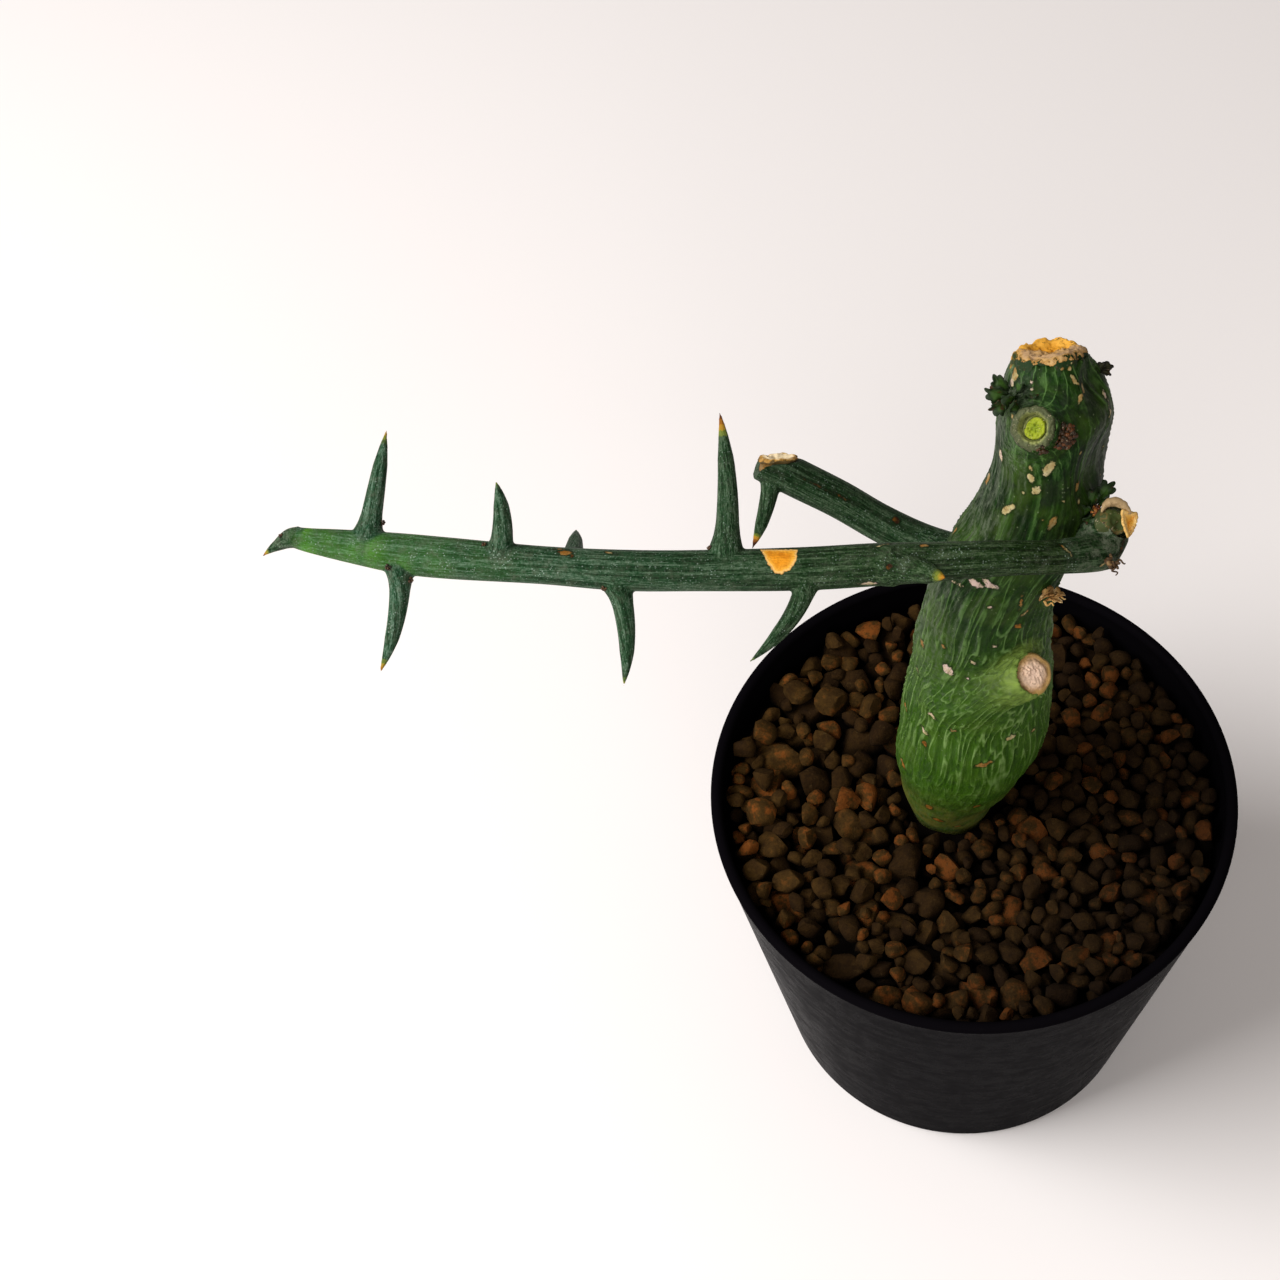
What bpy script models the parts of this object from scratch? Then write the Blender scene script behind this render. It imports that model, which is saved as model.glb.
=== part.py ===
"""A potted adenia: a wrinkled green trunk with thorny branches, standing in brown grit in a black pot.

Units are metres, with +Z up. The origin is the centre of the pot's underside, which is the face
that the part stands on. Tables of stations are in millimetres, because the plant is that small,
and MM turns them into metres in one place.
"""

import math
import random

import bmesh
import bpy
import numpy as np
from mathutils import Matrix, Vector, noise

MM = 0.001
GAP = 0.35 * MM

POT_HEIGHT = 78 * MM
POT_RIM_RADIUS = 45 * MM
POT_TAPER = 0.137
POT_WALL = 1.4 * MM
POT_FLOOR = 1.8 * MM
POT_FOOT_ROUNDING = 1.2 * MM
RIM_BEAD_RADIUS = 1.0 * MM
POT_STEPS = 52
DRAIN_HOLES = 8
DRAIN_HOLE_RADIUS = 2.4 * MM
DRAIN_CIRCLE_RADIUS = 19 * MM

GRIT_DEPTH_BELOW_RIM = 8.2 * MM
GRIT_MOUND = 1.0 * MM
GRAIN_COUNT = 160
GRAIN_SMALLEST = 5.2 * MM
GRAIN_LARGEST = 8.2 * MM
GRAIN_SEED = 11
GRAIN_TRIES = 60000
# Grains keep this share of their mean size between their middles, less the second share at the last try.
GRAIN_SPACING = 0.95
GRAIN_SPACING_EASED = 0.4
# Shares of a grain's size: how far it stays from the wall, and how low and high it sits in the bed.
GRAIN_WALL_SHARE = 0.62
GRAIN_LIFT = (-0.06, 0.14)
GRAIN_LUMPS = 0.12
GRAIN_STRETCH = 0.14
GRIT_SIDES = 48
GRIT_FOOT_CHAMFER = 2.2 * MM
GRIT_UNEVEN = 0.5 * MM
GRIT_BED_RISE = 0.4 * MM
TRUNK_HOLE_TOP = 84 * MM
TRUNK_HOLE_SIDES = 32

TRUNK_SIDES = 50
TRUNK_STEP = 4.2 * MM
WRINKLE_COUNT = 14
WRINKLE_DEPTH = 0.34 * MM
WRINKLES_START = 73 * MM
WRINKLES_GROW_OVER = 6 * MM
WRINKLE_WANDER = 2.2
WRINKLE_SPIRAL = 90
# The wrinkles fade over this stretch towards the cut head, and keep the rest of their depth there.
HEAD_START = 150 * MM
HEAD_SPAN = 12 * MM
HEAD_FADE = 0.6
LUMP_DEPTH = 0.35 * MM
STUMP_SIDES = 16
STUMP_STEP = 2.5 * MM
BRANCH_SIDES = 12
BRANCH_STEP = 4.0 * MM
THORN_SIDES = 8

# Stations along the middle of each limb: x, y, z and radius in millimetres.
TRUNK = (
    (-2.8, 3.2, 58.0, 4.8),
    (-2.9, 3.1, 64.0, 5.8),
    (-2.9, 3.0, 70.0, 7.0),
    (-2.7, 2.6, 78.0, 8.8),
    (-1.9, 2.0, 87.0, 10.6),
    (-0.6, 1.0, 97.0, 11.8),
    (-0.2, 0.2, 106.5, 11.7),
    (0.0, -0.4, 120.0, 10.9),
    (0.2, -0.5, 130.0, 9.9),
    (0.6, -0.4, 139.0, 9.2),
    (2.4, 0.0, 146.5, 8.8),
    (5.2, 1.0, 152.0, 8.4),
    (7.7, 2.8, 158.0, 8.1),
    (9.4, 4.8, 163.5, 8.0),
    (10.2, 7.0, 168.5, 8.0),
    (10.2, 9.0, 173.0, 7.6),
    (10.3, 10.5, 175.8, 6.8),
    (10.4, 11.8, 178.0, 5.3),
)
TWIG_STUMP = (
    (6.0, 1.0, 148.5, 5.2),
    (10.5, -1.5, 152.5, 4.2),
    (14.6, -4.5, 156.8, 3.5),
    (17.4, -5.6, 159.5, 3.4),
)
LONG_BRANCH = (
    (16.4, -6.3, 155.2, 3.0),
    (14.0, -7.6, 156.6, 3.0),
    (11.5, -8.8, 158.0, 2.7),
    (6.0, -10.0, 160.5, 2.4),
    (-1.0, -10.5, 163.0, 2.5),
    (-9.5, -10.0, 164.0, 2.75),
    (-17.5, -8.5, 163.5, 3.0),
    (-28.5, -6.5, 162.7, 3.05),
    (-42.5, -4.5, 163.5, 2.9),
    (-53.0, -2.5, 163.8, 2.9),
    (-64.0, 0.5, 164.0, 2.7),
    (-76.5, 4.0, 164.3, 2.95),
    (-83.5, 6.5, 164.0, 2.9),
    (-90.5, 8.5, 165.0, 2.4),
    (-96.0, 10.0, 165.5, 2.0),
    (-98.7, 10.8, 165.7, 1.6),
)
BACK_BRANCH = (
    (-1.2, 1.7, 143.0, 4.3),
    (-7.8, 7.0, 143.4, 3.1),
    (-13.9, 10.6, 145.9, 2.85),
    (-19.3, 13.5, 149.3, 2.85),
    (-24.8, 16.0, 152.5, 2.9),
    (-30.0, 18.3, 155.6, 2.9),
)
FRONT_STUMP = (
    (9.0, 6.0, 169.5, 4.3),
    (6.9, 3.6, 172.4, 3.6),
    (5.5, 1.8, 174.9, 3.05),
)
LOW_STUMP = (
    (-3.6, -5.2, 121.0, 6.6),
    (-1.0, -8.0, 125.5, 5.3),
    (2.0, -10.6, 130.2, 4.1),
    (4.4, -12.4, 133.6, 3.2),
)

# The back branch ends in a slanting cut through this point, square to this direction.
BACK_CUT_NORMAL = (0.03, 0.66, 0.75)
BACK_CUT_POINT = (-27.7, 17.3, 156.6)
CUT_BLOCK_SIZE = 12 * MM

# Thorns: distance along the branch, bearing round it (0 is up, 90 is away from the front),
# length from the branch's middle, lean towards the branch's tip, bow of the middle towards the
# branch's root, and stoutness. Lengths are in millimetres.
LONG_BRANCH_THORNS = (
    (36.0, -52, 7.0, -7.0, 0.4, 1.0),
    (46.8, -114, 12.4, 8.6, 2.0, 1.0),
    (58.4, 58, 21.6, 0.4, 0.8, 1.1),
    (73.8, -123, 15.6, -2.2, 1.1, 1.0),
    (80.0, 122, 13.2, 1.5, 0.2, 1.0),
    (90.2, 33, 11.6, 0.2, 0.8, 1.05),
    (104.6, -121, 16.6, 0.6, 1.1, 1.0),
    (109.4, 59, 16.5, -0.4, 0.0, 1.0),
    (120.5, -116, 3.4, 4.0, 0.2, 0.8),
)
BACK_BRANCH_THORNS = ((34.4, -117, 12.4, -2.2, 0.5, 0.9),)

# How far up the thorn each radius stands, as a share of its length, and the radius in millimetres.
THORN_PROFILE = (
    (0.0, 2.3),
    (0.14, 2.2),
    (0.21, 1.75),
    (0.30, 1.5),
    (0.5, 1.3),
    (0.7, 1.05),
    (0.85, 0.62),
    (0.94, 0.3),
    (1.0, 0.07),
)

# Crisped leaves: place of the root, the way it points, its length, width and tilt in degrees.
CRISPED_LEAVES = (
    ((4.4, 8.0, 174.4), (-0.95, -0.25, 0.25), 4.8, 5.2, 20),
    ((4.4, 7.4, 173.4), (-0.90, -0.45, -0.15), 4.4, 4.0, 75),
    ((13.4, -0.8, 160.8), (0.55, -0.35, 0.80), 5.4, 3.2, -35),
    ((6.6, -5.0, 144.0), (0.80, -0.55, -0.10), 4.6, 4.2, 30),
    ((14.4, -8.0, 154.8), (0.45, -0.50, -0.75), 4.2, 3.2, 60),
)
# Clusters of bud scales: the middle, the cluster's radius and how many scales it has.
BUD_CLUSTERS = (
    ((9.4, 0.9, 173.8), 1.5, 7),
    ((17.2, 8.6, 176.2), 1.0, 5),
    ((14.0, -3.2, 161.0), 0.9, 4),
)
BUD_SEED = 4
# Shares of a cluster's radius: how far out its scales sit, and how big each is.
BUD_SCALE_SPREAD = 0.55
BUD_SCALE_RADIUS = 0.62
BLADE_THICKNESS = 0.7 * MM
# A blade's width at its root and the depth of the waves in its edge, as shares of its width.
BLADE_ROOT_WIDTH = 0.3
BLADE_WAVE = 0.16
BLADE_WAVE_TURNS = 6.5
BLADE_EDGE_DROOP = 0.35


def clear_scene():
    for old in list(bpy.data.objects):
        bpy.data.objects.remove(old)


def new_collection(name):
    made = bpy.data.collections.new(name)
    bpy.context.scene.collection.children.link(made)
    return made


def new_material(name, colour, roughness):
    made = bpy.data.materials.new(name)
    made.use_nodes = True
    shader = made.node_tree.nodes["Principled BSDF"]
    shader.inputs["Base Color"].default_value = (*colour, 1)
    shader.inputs["Roughness"].default_value = roughness
    shader.inputs["Metallic"].default_value = 0
    return made


def new_object(name, mesh, collection):
    made = bpy.data.objects.new(name, mesh)
    collection.objects.link(made)
    return made


def object_from_shape(name, shape, collection):
    """A mesh object from a bmesh, which is freed."""
    mesh = bpy.data.meshes.new(name)
    shape.to_mesh(mesh)
    shape.free()
    return new_object(name, mesh, collection)


def move_to(item, collection):
    for old in item.users_collection:
        old.objects.unlink(item)
    collection.objects.link(item)


def weld(mesh):
    """Joins points that coincide and turns every face outwards."""
    shape = bmesh.new()
    shape.from_mesh(mesh)
    bmesh.ops.remove_doubles(shape, verts=shape.verts, dist=0.001 * MM)
    bmesh.ops.recalc_face_normals(shape, faces=shape.faces)
    shape.to_mesh(mesh)
    shape.free()


def curve_point(before, start, end, after, share):
    """A point that share of the way from start to end, on a Catmull-Rom curve through all four."""
    linear = (end - before) * share
    square = (2 * before - 5 * start + 4 * end - after) * share**2
    cube = (3 * start - before - 3 * end + after) * share**3
    return 0.5 * (2 * start + linear + square + cube)


def smooth_rows(stations, step):
    """Rows of x, y, z and radius in metres, about a step apart, on a smooth curve through the stations."""
    rows = np.array(stations, float) * MM
    ends = np.vstack([2 * rows[0] - rows[1], rows, 2 * rows[-1] - rows[-2]])
    made = []
    for index in range(len(rows) - 1):
        four = ends[index : index + 4]
        count = max(1, round(float(np.linalg.norm((four[2] - four[1])[:3])) / step))
        for turn in range(count):
            made.append(curve_point(*four, turn / count))
    made.append(rows[-1])
    return np.array(made)


def tube(name, rows, sides, collection):
    """A closed mesh tube round the rows, each with its own radius."""
    curve = bpy.data.curves.new(name + "_curve", "CURVE")
    curve.dimensions = "3D"
    curve.twist_mode = "MINIMUM"
    curve.bevel_depth = 1.0
    curve.bevel_resolution = (sides - 4) // 2
    curve.use_fill_caps = True
    spline = curve.splines.new("POLY")
    spline.points.add(len(rows) - 1)
    for point, row in zip(spline.points, rows):
        point.co = (*row[:3], 1)
        point.radius = row[3]
    source = new_object(name + "_curve", curve, collection)
    bpy.context.view_layer.update()
    graph = bpy.context.evaluated_depsgraph_get()
    mesh = bpy.data.meshes.new_from_object(source.evaluated_get(graph))
    bpy.data.objects.remove(source)
    weld(mesh)
    mesh.materials.clear()
    return new_object(name, mesh, collection)


def limb(name, stations, sides, step, collection):
    return tube(name, smooth_rows(stations, step), sides, collection)


def apply_modifiers(target):
    graph = bpy.context.evaluated_depsgraph_get()
    made = bpy.data.meshes.new_from_object(target.evaluated_get(graph))
    target.modifiers.clear()
    target.data = made


def boolean(target, operation, other, solver="EXACT"):
    """Cuts, keeps or joins another object or a whole collection, and applies the result."""
    modifier = target.modifiers.new(operation.lower(), "BOOLEAN")
    modifier.operation = operation
    modifier.solver = solver
    if isinstance(other, bpy.types.Collection):
        modifier.operand_type = "COLLECTION"
        modifier.collection = other
    else:
        modifier.object = other
    bpy.context.view_layer.update()
    apply_modifiers(target)


def keep_largest_body(target):
    """Drops loose scraps that a cut leaves behind, also where they touch the body along an edge."""
    shape = bmesh.new()
    shape.from_mesh(target.data)
    left = set(shape.faces)
    bodies = []
    while left:
        stack = [left.pop()]
        body = list(stack)
        while stack:
            for edge in stack.pop().edges:
                if len(edge.link_faces) != 2:
                    continue
                for face in edge.link_faces:
                    if face in left:
                        left.remove(face)
                        stack.append(face)
                        body.append(face)
        bodies.append(body)
    bodies.sort(key=len)
    for body in bodies[:-1]:
        bmesh.ops.delete(shape, geom=body, context="FACES")
    shape.to_mesh(target.data)
    shape.free()


def remove_collection(collection):
    for item in list(collection.objects):
        bpy.data.objects.remove(item)
    bpy.data.collections.remove(collection)


def finish(target, material):
    target.data.materials.clear()
    target.data.materials.append(material)
    target.data.shade_smooth()
    target.data.set_sharp_from_angle(angle=math.radians(40))


def wall_radius(height):
    """Radius of the pot's outer wall at a height."""
    return POT_RIM_RADIUS - POT_TAPER * (POT_HEIGHT - height)


def arc(centre, radius, start, end, steps):
    turns = np.radians(np.linspace(start, end, steps + 1))
    return [(centre[0] + radius * math.cos(a), centre[1] + radius * math.sin(a)) for a in turns]


def pot_profile():
    """Radius and height from the middle of the inside floor, over the rim, to the underside's middle."""
    inner = wall_radius(POT_FLOOR) - POT_WALL
    bead_height = POT_HEIGHT - RIM_BEAD_RADIUS
    bead_centre = (POT_RIM_RADIUS - RIM_BEAD_RADIUS, bead_height)
    under_bead = bead_height - 1.5 * RIM_BEAD_RADIUS
    inside = [(0, POT_FLOOR), (inner - 2.0 * MM, POT_FLOOR), (inner, POT_FLOOR + 2.0 * MM)]
    inside.append((wall_radius(under_bead) - POT_WALL, under_bead))
    bead = arc(bead_centre, RIM_BEAD_RADIUS, 190, -20, 8)
    base = wall_radius(POT_FOOT_ROUNDING)
    foot = arc((base - POT_FOOT_ROUNDING, POT_FOOT_ROUNDING), POT_FOOT_ROUNDING, 0, -90, 3)
    outside = [(wall_radius(under_bead), under_bead), *foot, (0, 0)]
    return inside + bead + outside


def make_pot(parts, cutters):
    shape = bmesh.new()
    points = [shape.verts.new((radius, 0, height)) for radius, height in pot_profile()]
    for first, second in zip(points, points[1:]):
        shape.edges.new((first, second))
    pot = object_from_shape("pot", shape, parts)
    turn = pot.modifiers.new("turn", "SCREW")
    turn.axis = "Z"
    turn.steps = POT_STEPS
    turn.render_steps = POT_STEPS
    turn.use_merge_vertices = True
    turn.merge_threshold = 0.00001
    turn.use_normal_calculate = True
    bpy.context.view_layer.update()
    apply_modifiers(pot)
    weld(pot.data)
    for index in range(DRAIN_HOLES):
        angle = 2 * math.pi * (index + 0.5) / DRAIN_HOLES
        middle = Vector((math.cos(angle), math.sin(angle), 0)) * DRAIN_CIRCLE_RADIUS
        bpy.ops.mesh.primitive_cylinder_add(
            vertices=12, radius=DRAIN_HOLE_RADIUS, depth=4 * POT_FLOOR, location=middle
        )
        hole = bpy.context.object
        hole.name = f"drain_hole_{index + 1}"
        move_to(hole, cutters)
    boolean(pot, "DIFFERENCE", cutters)
    finish(pot, new_material("black_plastic", (0.012, 0.011, 0.013), 0.28))
    return pot


def grit_height(x, y):
    """The level of the grit bed, a little higher round the trunk and uneven."""
    radius = math.hypot(x, y)
    mound = GRIT_MOUND * math.cos(min(1.0, radius / (0.9 * POT_RIM_RADIUS)) * math.pi / 2)
    uneven = GRIT_UNEVEN * noise.noise(Vector((x, y, 0)) * 60)
    return POT_HEIGHT - GRIT_DEPTH_BELOW_RIM + mound + uneven


def grain_places(random_draw):
    """Places and sizes of grains, none of them much nearer to its neighbours than its own size."""
    inner = wall_radius(POT_HEIGHT - GRIT_DEPTH_BELOW_RIM) - POT_WALL - GAP
    placed = []
    for turn in range(GRAIN_TRIES):
        if len(placed) == GRAIN_COUNT:
            break
        crowded = GRAIN_SPACING - GRAIN_SPACING_EASED * turn / GRAIN_TRIES
        size = GRAIN_SMALLEST + (GRAIN_LARGEST - GRAIN_SMALLEST) * random_draw.random() ** 1.3
        reach = inner - GRAIN_WALL_SHARE * size
        radius = reach * math.sqrt(random_draw.random())
        angle = random_draw.uniform(0, math.tau)
        x, y = radius * math.cos(angle), radius * math.sin(angle)
        near = (math.hypot(x - a, y - b) < crowded * 0.5 * (size + other) for a, b, other in placed)
        if not any(near):
            placed.append((x, y, size))
    return placed


def make_grain(index, x, y, size, random_draw, collection):
    shape = bmesh.new()
    bmesh.ops.create_icosphere(shape, subdivisions=1, radius=0.5 * size)
    for vertex in shape.verts:
        vertex.co *= 1 + random_draw.uniform(-GRAIN_LUMPS, GRAIN_LUMPS)
    stretch = Vector([1 + random_draw.uniform(-GRAIN_STRETCH, GRAIN_STRETCH) for _ in range(3)])
    heading = Matrix.Rotation(random_draw.uniform(0, math.tau), 4, "Z")
    roll = Matrix.Rotation(random_draw.uniform(0, math.tau), 4, "X")
    bmesh.ops.scale(shape, vec=stretch, verts=shape.verts)
    bmesh.ops.transform(shape, matrix=heading @ roll, verts=shape.verts)
    lift = random_draw.uniform(*GRAIN_LIFT) * size
    bmesh.ops.translate(shape, vec=(x, y, grit_height(x, y) + lift), verts=shape.verts)
    return object_from_shape(f"grain_{index}", shape, collection)


def make_grit(parts, cutters):
    """The bed of grit fills the pot, with grains that stand out of its top and a hole for the trunk."""
    top = POT_HEIGHT - GRIT_DEPTH_BELOW_RIM + GRIT_BED_RISE
    bottom = POT_FLOOR + GAP
    chamfer_top = bottom + GRIT_FOOT_CHAMFER
    clear = POT_WALL + GAP
    rows = [
        (0, 0, bottom, wall_radius(bottom) - clear - GRIT_FOOT_CHAMFER),
        (0, 0, chamfer_top, wall_radius(chamfer_top) - clear),
        (0, 0, top, wall_radius(top) - clear),
    ]
    grit = tube("potting_grit", np.array(rows), GRIT_SIDES, parts)
    grains = new_collection("grains")
    random_draw = random.Random(GRAIN_SEED)
    for index, (x, y, size) in enumerate(grain_places(random_draw)):
        make_grain(index, x, y, size, random_draw, grains)
    boolean(grit, "UNION", grains)
    remove_collection(grains)
    foot = np.array([row for row in smooth_rows(TRUNK, TRUNK_STEP) if row[2] < TRUNK_HOLE_TOP])
    foot[:, 3] += GAP + WRINKLE_DEPTH * np.clip((foot[:, 2] - WRINKLES_START) / WRINKLES_GROW_OVER, 0, 1)
    below = foot[0].copy()
    below[2] -= 2 * GAP
    hole = tube("foot_hole", np.vstack([below, foot]), TRUNK_HOLE_SIDES, cutters)
    boolean(grit, "DIFFERENCE", hole)
    keep_largest_body(grit)
    finish(grit, new_material("brown_grit", (0.12, 0.055, 0.02), 0.95))
    return grit


def wrinkle(trunk):
    """Lengthwise ridges and grooves that wander and split, raised from the trunk's surface by a formula."""
    rows = smooth_rows(TRUNK, TRUNK_STEP)
    for vertex in trunk.data.vertices:
        place = np.array(vertex.co)
        nearest = rows[np.argmin(np.linalg.norm(rows[:, :3] - place, axis=1))]
        out = Vector(place - nearest[:3])
        if out.length < 0.5 * nearest[3]:
            continue
        angle = math.atan2(out.x, -out.y)
        height = place[2]
        wander = WRINKLE_WANDER * noise.noise(Vector((math.cos(angle), math.sin(angle), height * 22)))
        ridge = math.cos(WRINKLE_COUNT * angle + wander + WRINKLE_SPIRAL * height)
        grown = min(1.0, max(0.0, (height - WRINKLES_START) / WRINKLES_GROW_OVER))
        head = 1.0 - HEAD_FADE * min(1.0, max(0.0, (height - HEAD_START) / HEAD_SPAN))
        lump = LUMP_DEPTH * noise.noise(Vector(vertex.co) * 120)
        vertex.co += out.normalized() * grown * (WRINKLE_DEPTH * ridge * head + lump)


def branch_frame(rows, along):
    """The place, direction and two square directions of a branch at a distance from its root."""
    lengths = np.concatenate([[0], np.cumsum(np.linalg.norm(np.diff(rows[:, :3], axis=0), axis=1))])
    at = min(along * MM, lengths[-1] - 0.01 * MM)
    index = int(np.searchsorted(lengths, at, side="right")) - 1
    share = (at - lengths[index]) / (lengths[index + 1] - lengths[index])
    place = Vector(rows[index, :3] * (1 - share) + rows[index + 1, :3] * share)
    forward = Vector(rows[index + 1, :3] - rows[index, :3]).normalized()
    up = (Vector((0, 0, 1)) - forward * forward.z).normalized()
    return place, forward, up, forward.cross(up)


def thorn(name, rows, values, collection):
    along, bearing, length, lean, bow, stoutness = values
    place, forward, up, side = branch_frame(rows, along)
    turn = math.radians(bearing)
    outward = up * math.cos(turn) + side * math.sin(turn)
    tip = place + (outward * length + forward * lean) * MM
    elbow = (place + tip) / 2 - forward * 2 * bow * MM
    made = []
    for share, radius in THORN_PROFILE:
        point = place * (1 - share) ** 2 + elbow * 2 * share * (1 - share) + tip * share**2
        made.append((*point, radius * stoutness * MM))
    return tube(name, np.array(made), THORN_SIDES, collection)


def crisped_leaf(name, root, outward, length, width, tilt, collection):
    """A small thick blade with a narrow root and a waved edge. Its sizes are in millimetres."""
    outward = Vector(outward).normalized()
    across = outward.cross(Vector((0, 0, 1))).normalized()
    across.rotate(Matrix.Rotation(math.radians(tilt), 3, outward))
    face = outward.cross(across)
    shape = bmesh.new()
    bmesh.ops.create_grid(shape, x_segments=6, y_segments=3, size=1)
    for vertex in shape.verts:
        aside, ahead = vertex.co.x, (vertex.co.y + 1) / 2
        swell = math.sin(math.pi * (0.15 + 0.75 * ahead))
        spread = BLADE_ROOT_WIDTH + (1 - BLADE_ROOT_WIDTH) * swell
        edge = 1 - BLADE_EDGE_DROOP * ahead * aside**2
        wave = BLADE_WAVE * math.sin(BLADE_WAVE_TURNS * aside + 1) * ahead
        local = across * (0.5 * width * aside * spread) + outward * (length * ahead * edge)
        local += face * (wave * width)
        vertex.co = (Vector(root) + local) * MM
    leaf = object_from_shape(name, shape, collection)
    wall = leaf.modifiers.new("thickness", "SOLIDIFY")
    wall.thickness = BLADE_THICKNESS
    wall.offset = 0
    bpy.context.view_layer.update()
    apply_modifiers(leaf)
    return leaf


def bud_cluster(name, middle, reach, count, random_draw, collection):
    """A knot of rounded bud scales that overlap."""
    for index in range(count):
        way = Vector([random_draw.gauss(0, 1) for _ in range(3)]).normalized()
        place = (Vector(middle) + way * BUD_SCALE_SPREAD * reach) * MM
        radius = BUD_SCALE_RADIUS * reach * MM
        bpy.ops.mesh.primitive_ico_sphere_add(subdivisions=1, radius=radius, location=place)
        scale = bpy.context.object
        scale.name = f"{name}_{index + 1}"
        move_to(scale, collection)


def cut_back_branch(branch, cutters):
    """The second branch ends in a slanting cut that faces up."""
    normal = Vector(BACK_CUT_NORMAL).normalized()
    middle = Vector(BACK_CUT_POINT) * MM + normal * CUT_BLOCK_SIZE / 2
    turn = normal.to_track_quat("Z", "Y").to_euler()
    bpy.ops.mesh.primitive_cube_add(size=CUT_BLOCK_SIZE, location=middle, rotation=turn)
    block = bpy.context.object
    block.name = "back_branch_cut"
    move_to(block, cutters)
    boolean(branch, "DIFFERENCE", block)


def make_plant(parts, cutters):
    plant = limb("adenia_plant", TRUNK, TRUNK_SIDES, TRUNK_STEP, parts)
    wrinkle(plant)
    growth = new_collection("growth")
    limb("twig_stump", TWIG_STUMP, STUMP_SIDES, STUMP_STEP, growth)
    limb("front_stump", FRONT_STUMP, STUMP_SIDES, STUMP_STEP, growth)
    limb("low_stump", LOW_STUMP, STUMP_SIDES + 4, STUMP_STEP, growth)
    limb("long_branch", LONG_BRANCH, BRANCH_SIDES, BRANCH_STEP, growth)
    back = limb("back_branch", BACK_BRANCH, BRANCH_SIDES, BRANCH_STEP, growth)
    cut_back_branch(back, cutters)
    for name, stations, thorns in (
        ("long_branch", LONG_BRANCH, LONG_BRANCH_THORNS),
        ("back_branch", BACK_BRANCH, BACK_BRANCH_THORNS),
    ):
        rows = smooth_rows(stations, 1.0 * MM)
        for index, values in enumerate(thorns):
            thorn(f"{name}_thorn_{index + 1}", rows, values, growth)
    for index, (root, outward, length, width, tilt) in enumerate(CRISPED_LEAVES):
        crisped_leaf(f"crisped_leaf_{index + 1}", root, outward, length, width, tilt, growth)
    random_draw = random.Random(BUD_SEED)
    for index, (middle, reach, count) in enumerate(BUD_CLUSTERS):
        bud_cluster(f"bud_{index + 1}", middle, reach, count, random_draw, growth)
    # The exact solver leaves slivers here that touch the plant only along an edge.
    boolean(plant, "UNION", growth, solver="MANIFOLD")
    remove_collection(growth)
    keep_largest_body(plant)
    finish(plant, new_material("green_bark", (0.05, 0.13, 0.045), 0.6))
    return plant


def main():
    clear_scene()
    parts = new_collection("potted_adenia")
    pot_cutters = new_collection("pot_cutters")
    plant_cutters = new_collection("plant_cutters")
    make_pot(parts, pot_cutters)
    make_grit(parts, plant_cutters)
    make_plant(parts, plant_cutters)
    remove_collection(pot_cutters)
    remove_collection(plant_cutters)


main()
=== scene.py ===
# %% [markdown]
# # A potted adenia
# A cutting of adenia stands in brown grit in a black plastic pot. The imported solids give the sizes
# and places. This script makes the finer pieces that are seen: the wrinkled trunk, the thorny
# branches, the crisped leaves, the stones and the pot. Everything is in metres, with +Z up and the
# origin under the middle of the pot. Tables of places are in millimetres, because the plant is small.

# %% Load the solids
import math

import bpy
import numpy as np
from mathutils import Matrix, Vector


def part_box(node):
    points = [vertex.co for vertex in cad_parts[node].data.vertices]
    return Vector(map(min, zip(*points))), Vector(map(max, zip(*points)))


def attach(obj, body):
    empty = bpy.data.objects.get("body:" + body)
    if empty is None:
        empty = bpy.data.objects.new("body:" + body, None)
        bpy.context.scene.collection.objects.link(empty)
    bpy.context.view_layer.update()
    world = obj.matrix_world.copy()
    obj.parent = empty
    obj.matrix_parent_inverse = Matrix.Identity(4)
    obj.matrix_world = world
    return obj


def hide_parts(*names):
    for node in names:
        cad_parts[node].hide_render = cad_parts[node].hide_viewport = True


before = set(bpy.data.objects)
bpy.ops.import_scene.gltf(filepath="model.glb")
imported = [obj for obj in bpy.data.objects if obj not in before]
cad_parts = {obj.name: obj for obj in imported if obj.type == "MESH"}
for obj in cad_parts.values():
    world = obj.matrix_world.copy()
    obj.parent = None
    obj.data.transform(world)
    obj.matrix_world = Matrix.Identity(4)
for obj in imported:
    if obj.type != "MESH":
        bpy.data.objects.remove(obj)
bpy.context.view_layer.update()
MM = 0.001
print("solids:", sorted(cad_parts))

# %% [markdown]
# The photograph looks down at the plant from the front left. A camera is added first, at the same
# angle, because some small marks are later placed where the photograph shows them: a ray from the
# camera finds the spot on the bark. The camera tips down from the horizon and rolls a little.

# %% Camera at the photograph's angle
CAMERA_PLACE = Vector((-52.1, -177.7, 417.9)) * MM
CAMERA_DOWN = math.radians(57.27)
CAMERA_ROLL = math.radians(-9.52)
SENSOR_WIDTH = 36
FRAME_PIXELS = 1280
FOCAL_PIXELS = 2216

bpy.ops.object.select_all(action="DESELECT")
bpy.ops.object.camera_add(location=CAMERA_PLACE)
camera = bpy.context.object
camera.name = "photo_camera"
tip_down = Matrix.Rotation(math.pi / 2 - CAMERA_DOWN, 4, "X")
roll = Matrix.Rotation(CAMERA_ROLL, 4, "Z")
camera.matrix_world = Matrix.Translation(CAMERA_PLACE) @ tip_down @ roll
camera.data.sensor_width = SENSOR_WIDTH
camera.data.lens = SENSOR_WIDTH * FOCAL_PIXELS / FRAME_PIXELS
camera.data.clip_start = 0.01
bpy.context.scene.camera = camera
print("lens in mm:", round(camera.data.lens, 2))

# %% [markdown]
# Every limb of the plant is a row of stations: x, y, z and radius. Straight runs between stations
# would show as kinks, so a Catmull-Rom curve is drawn through them and read off at small steps.

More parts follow.
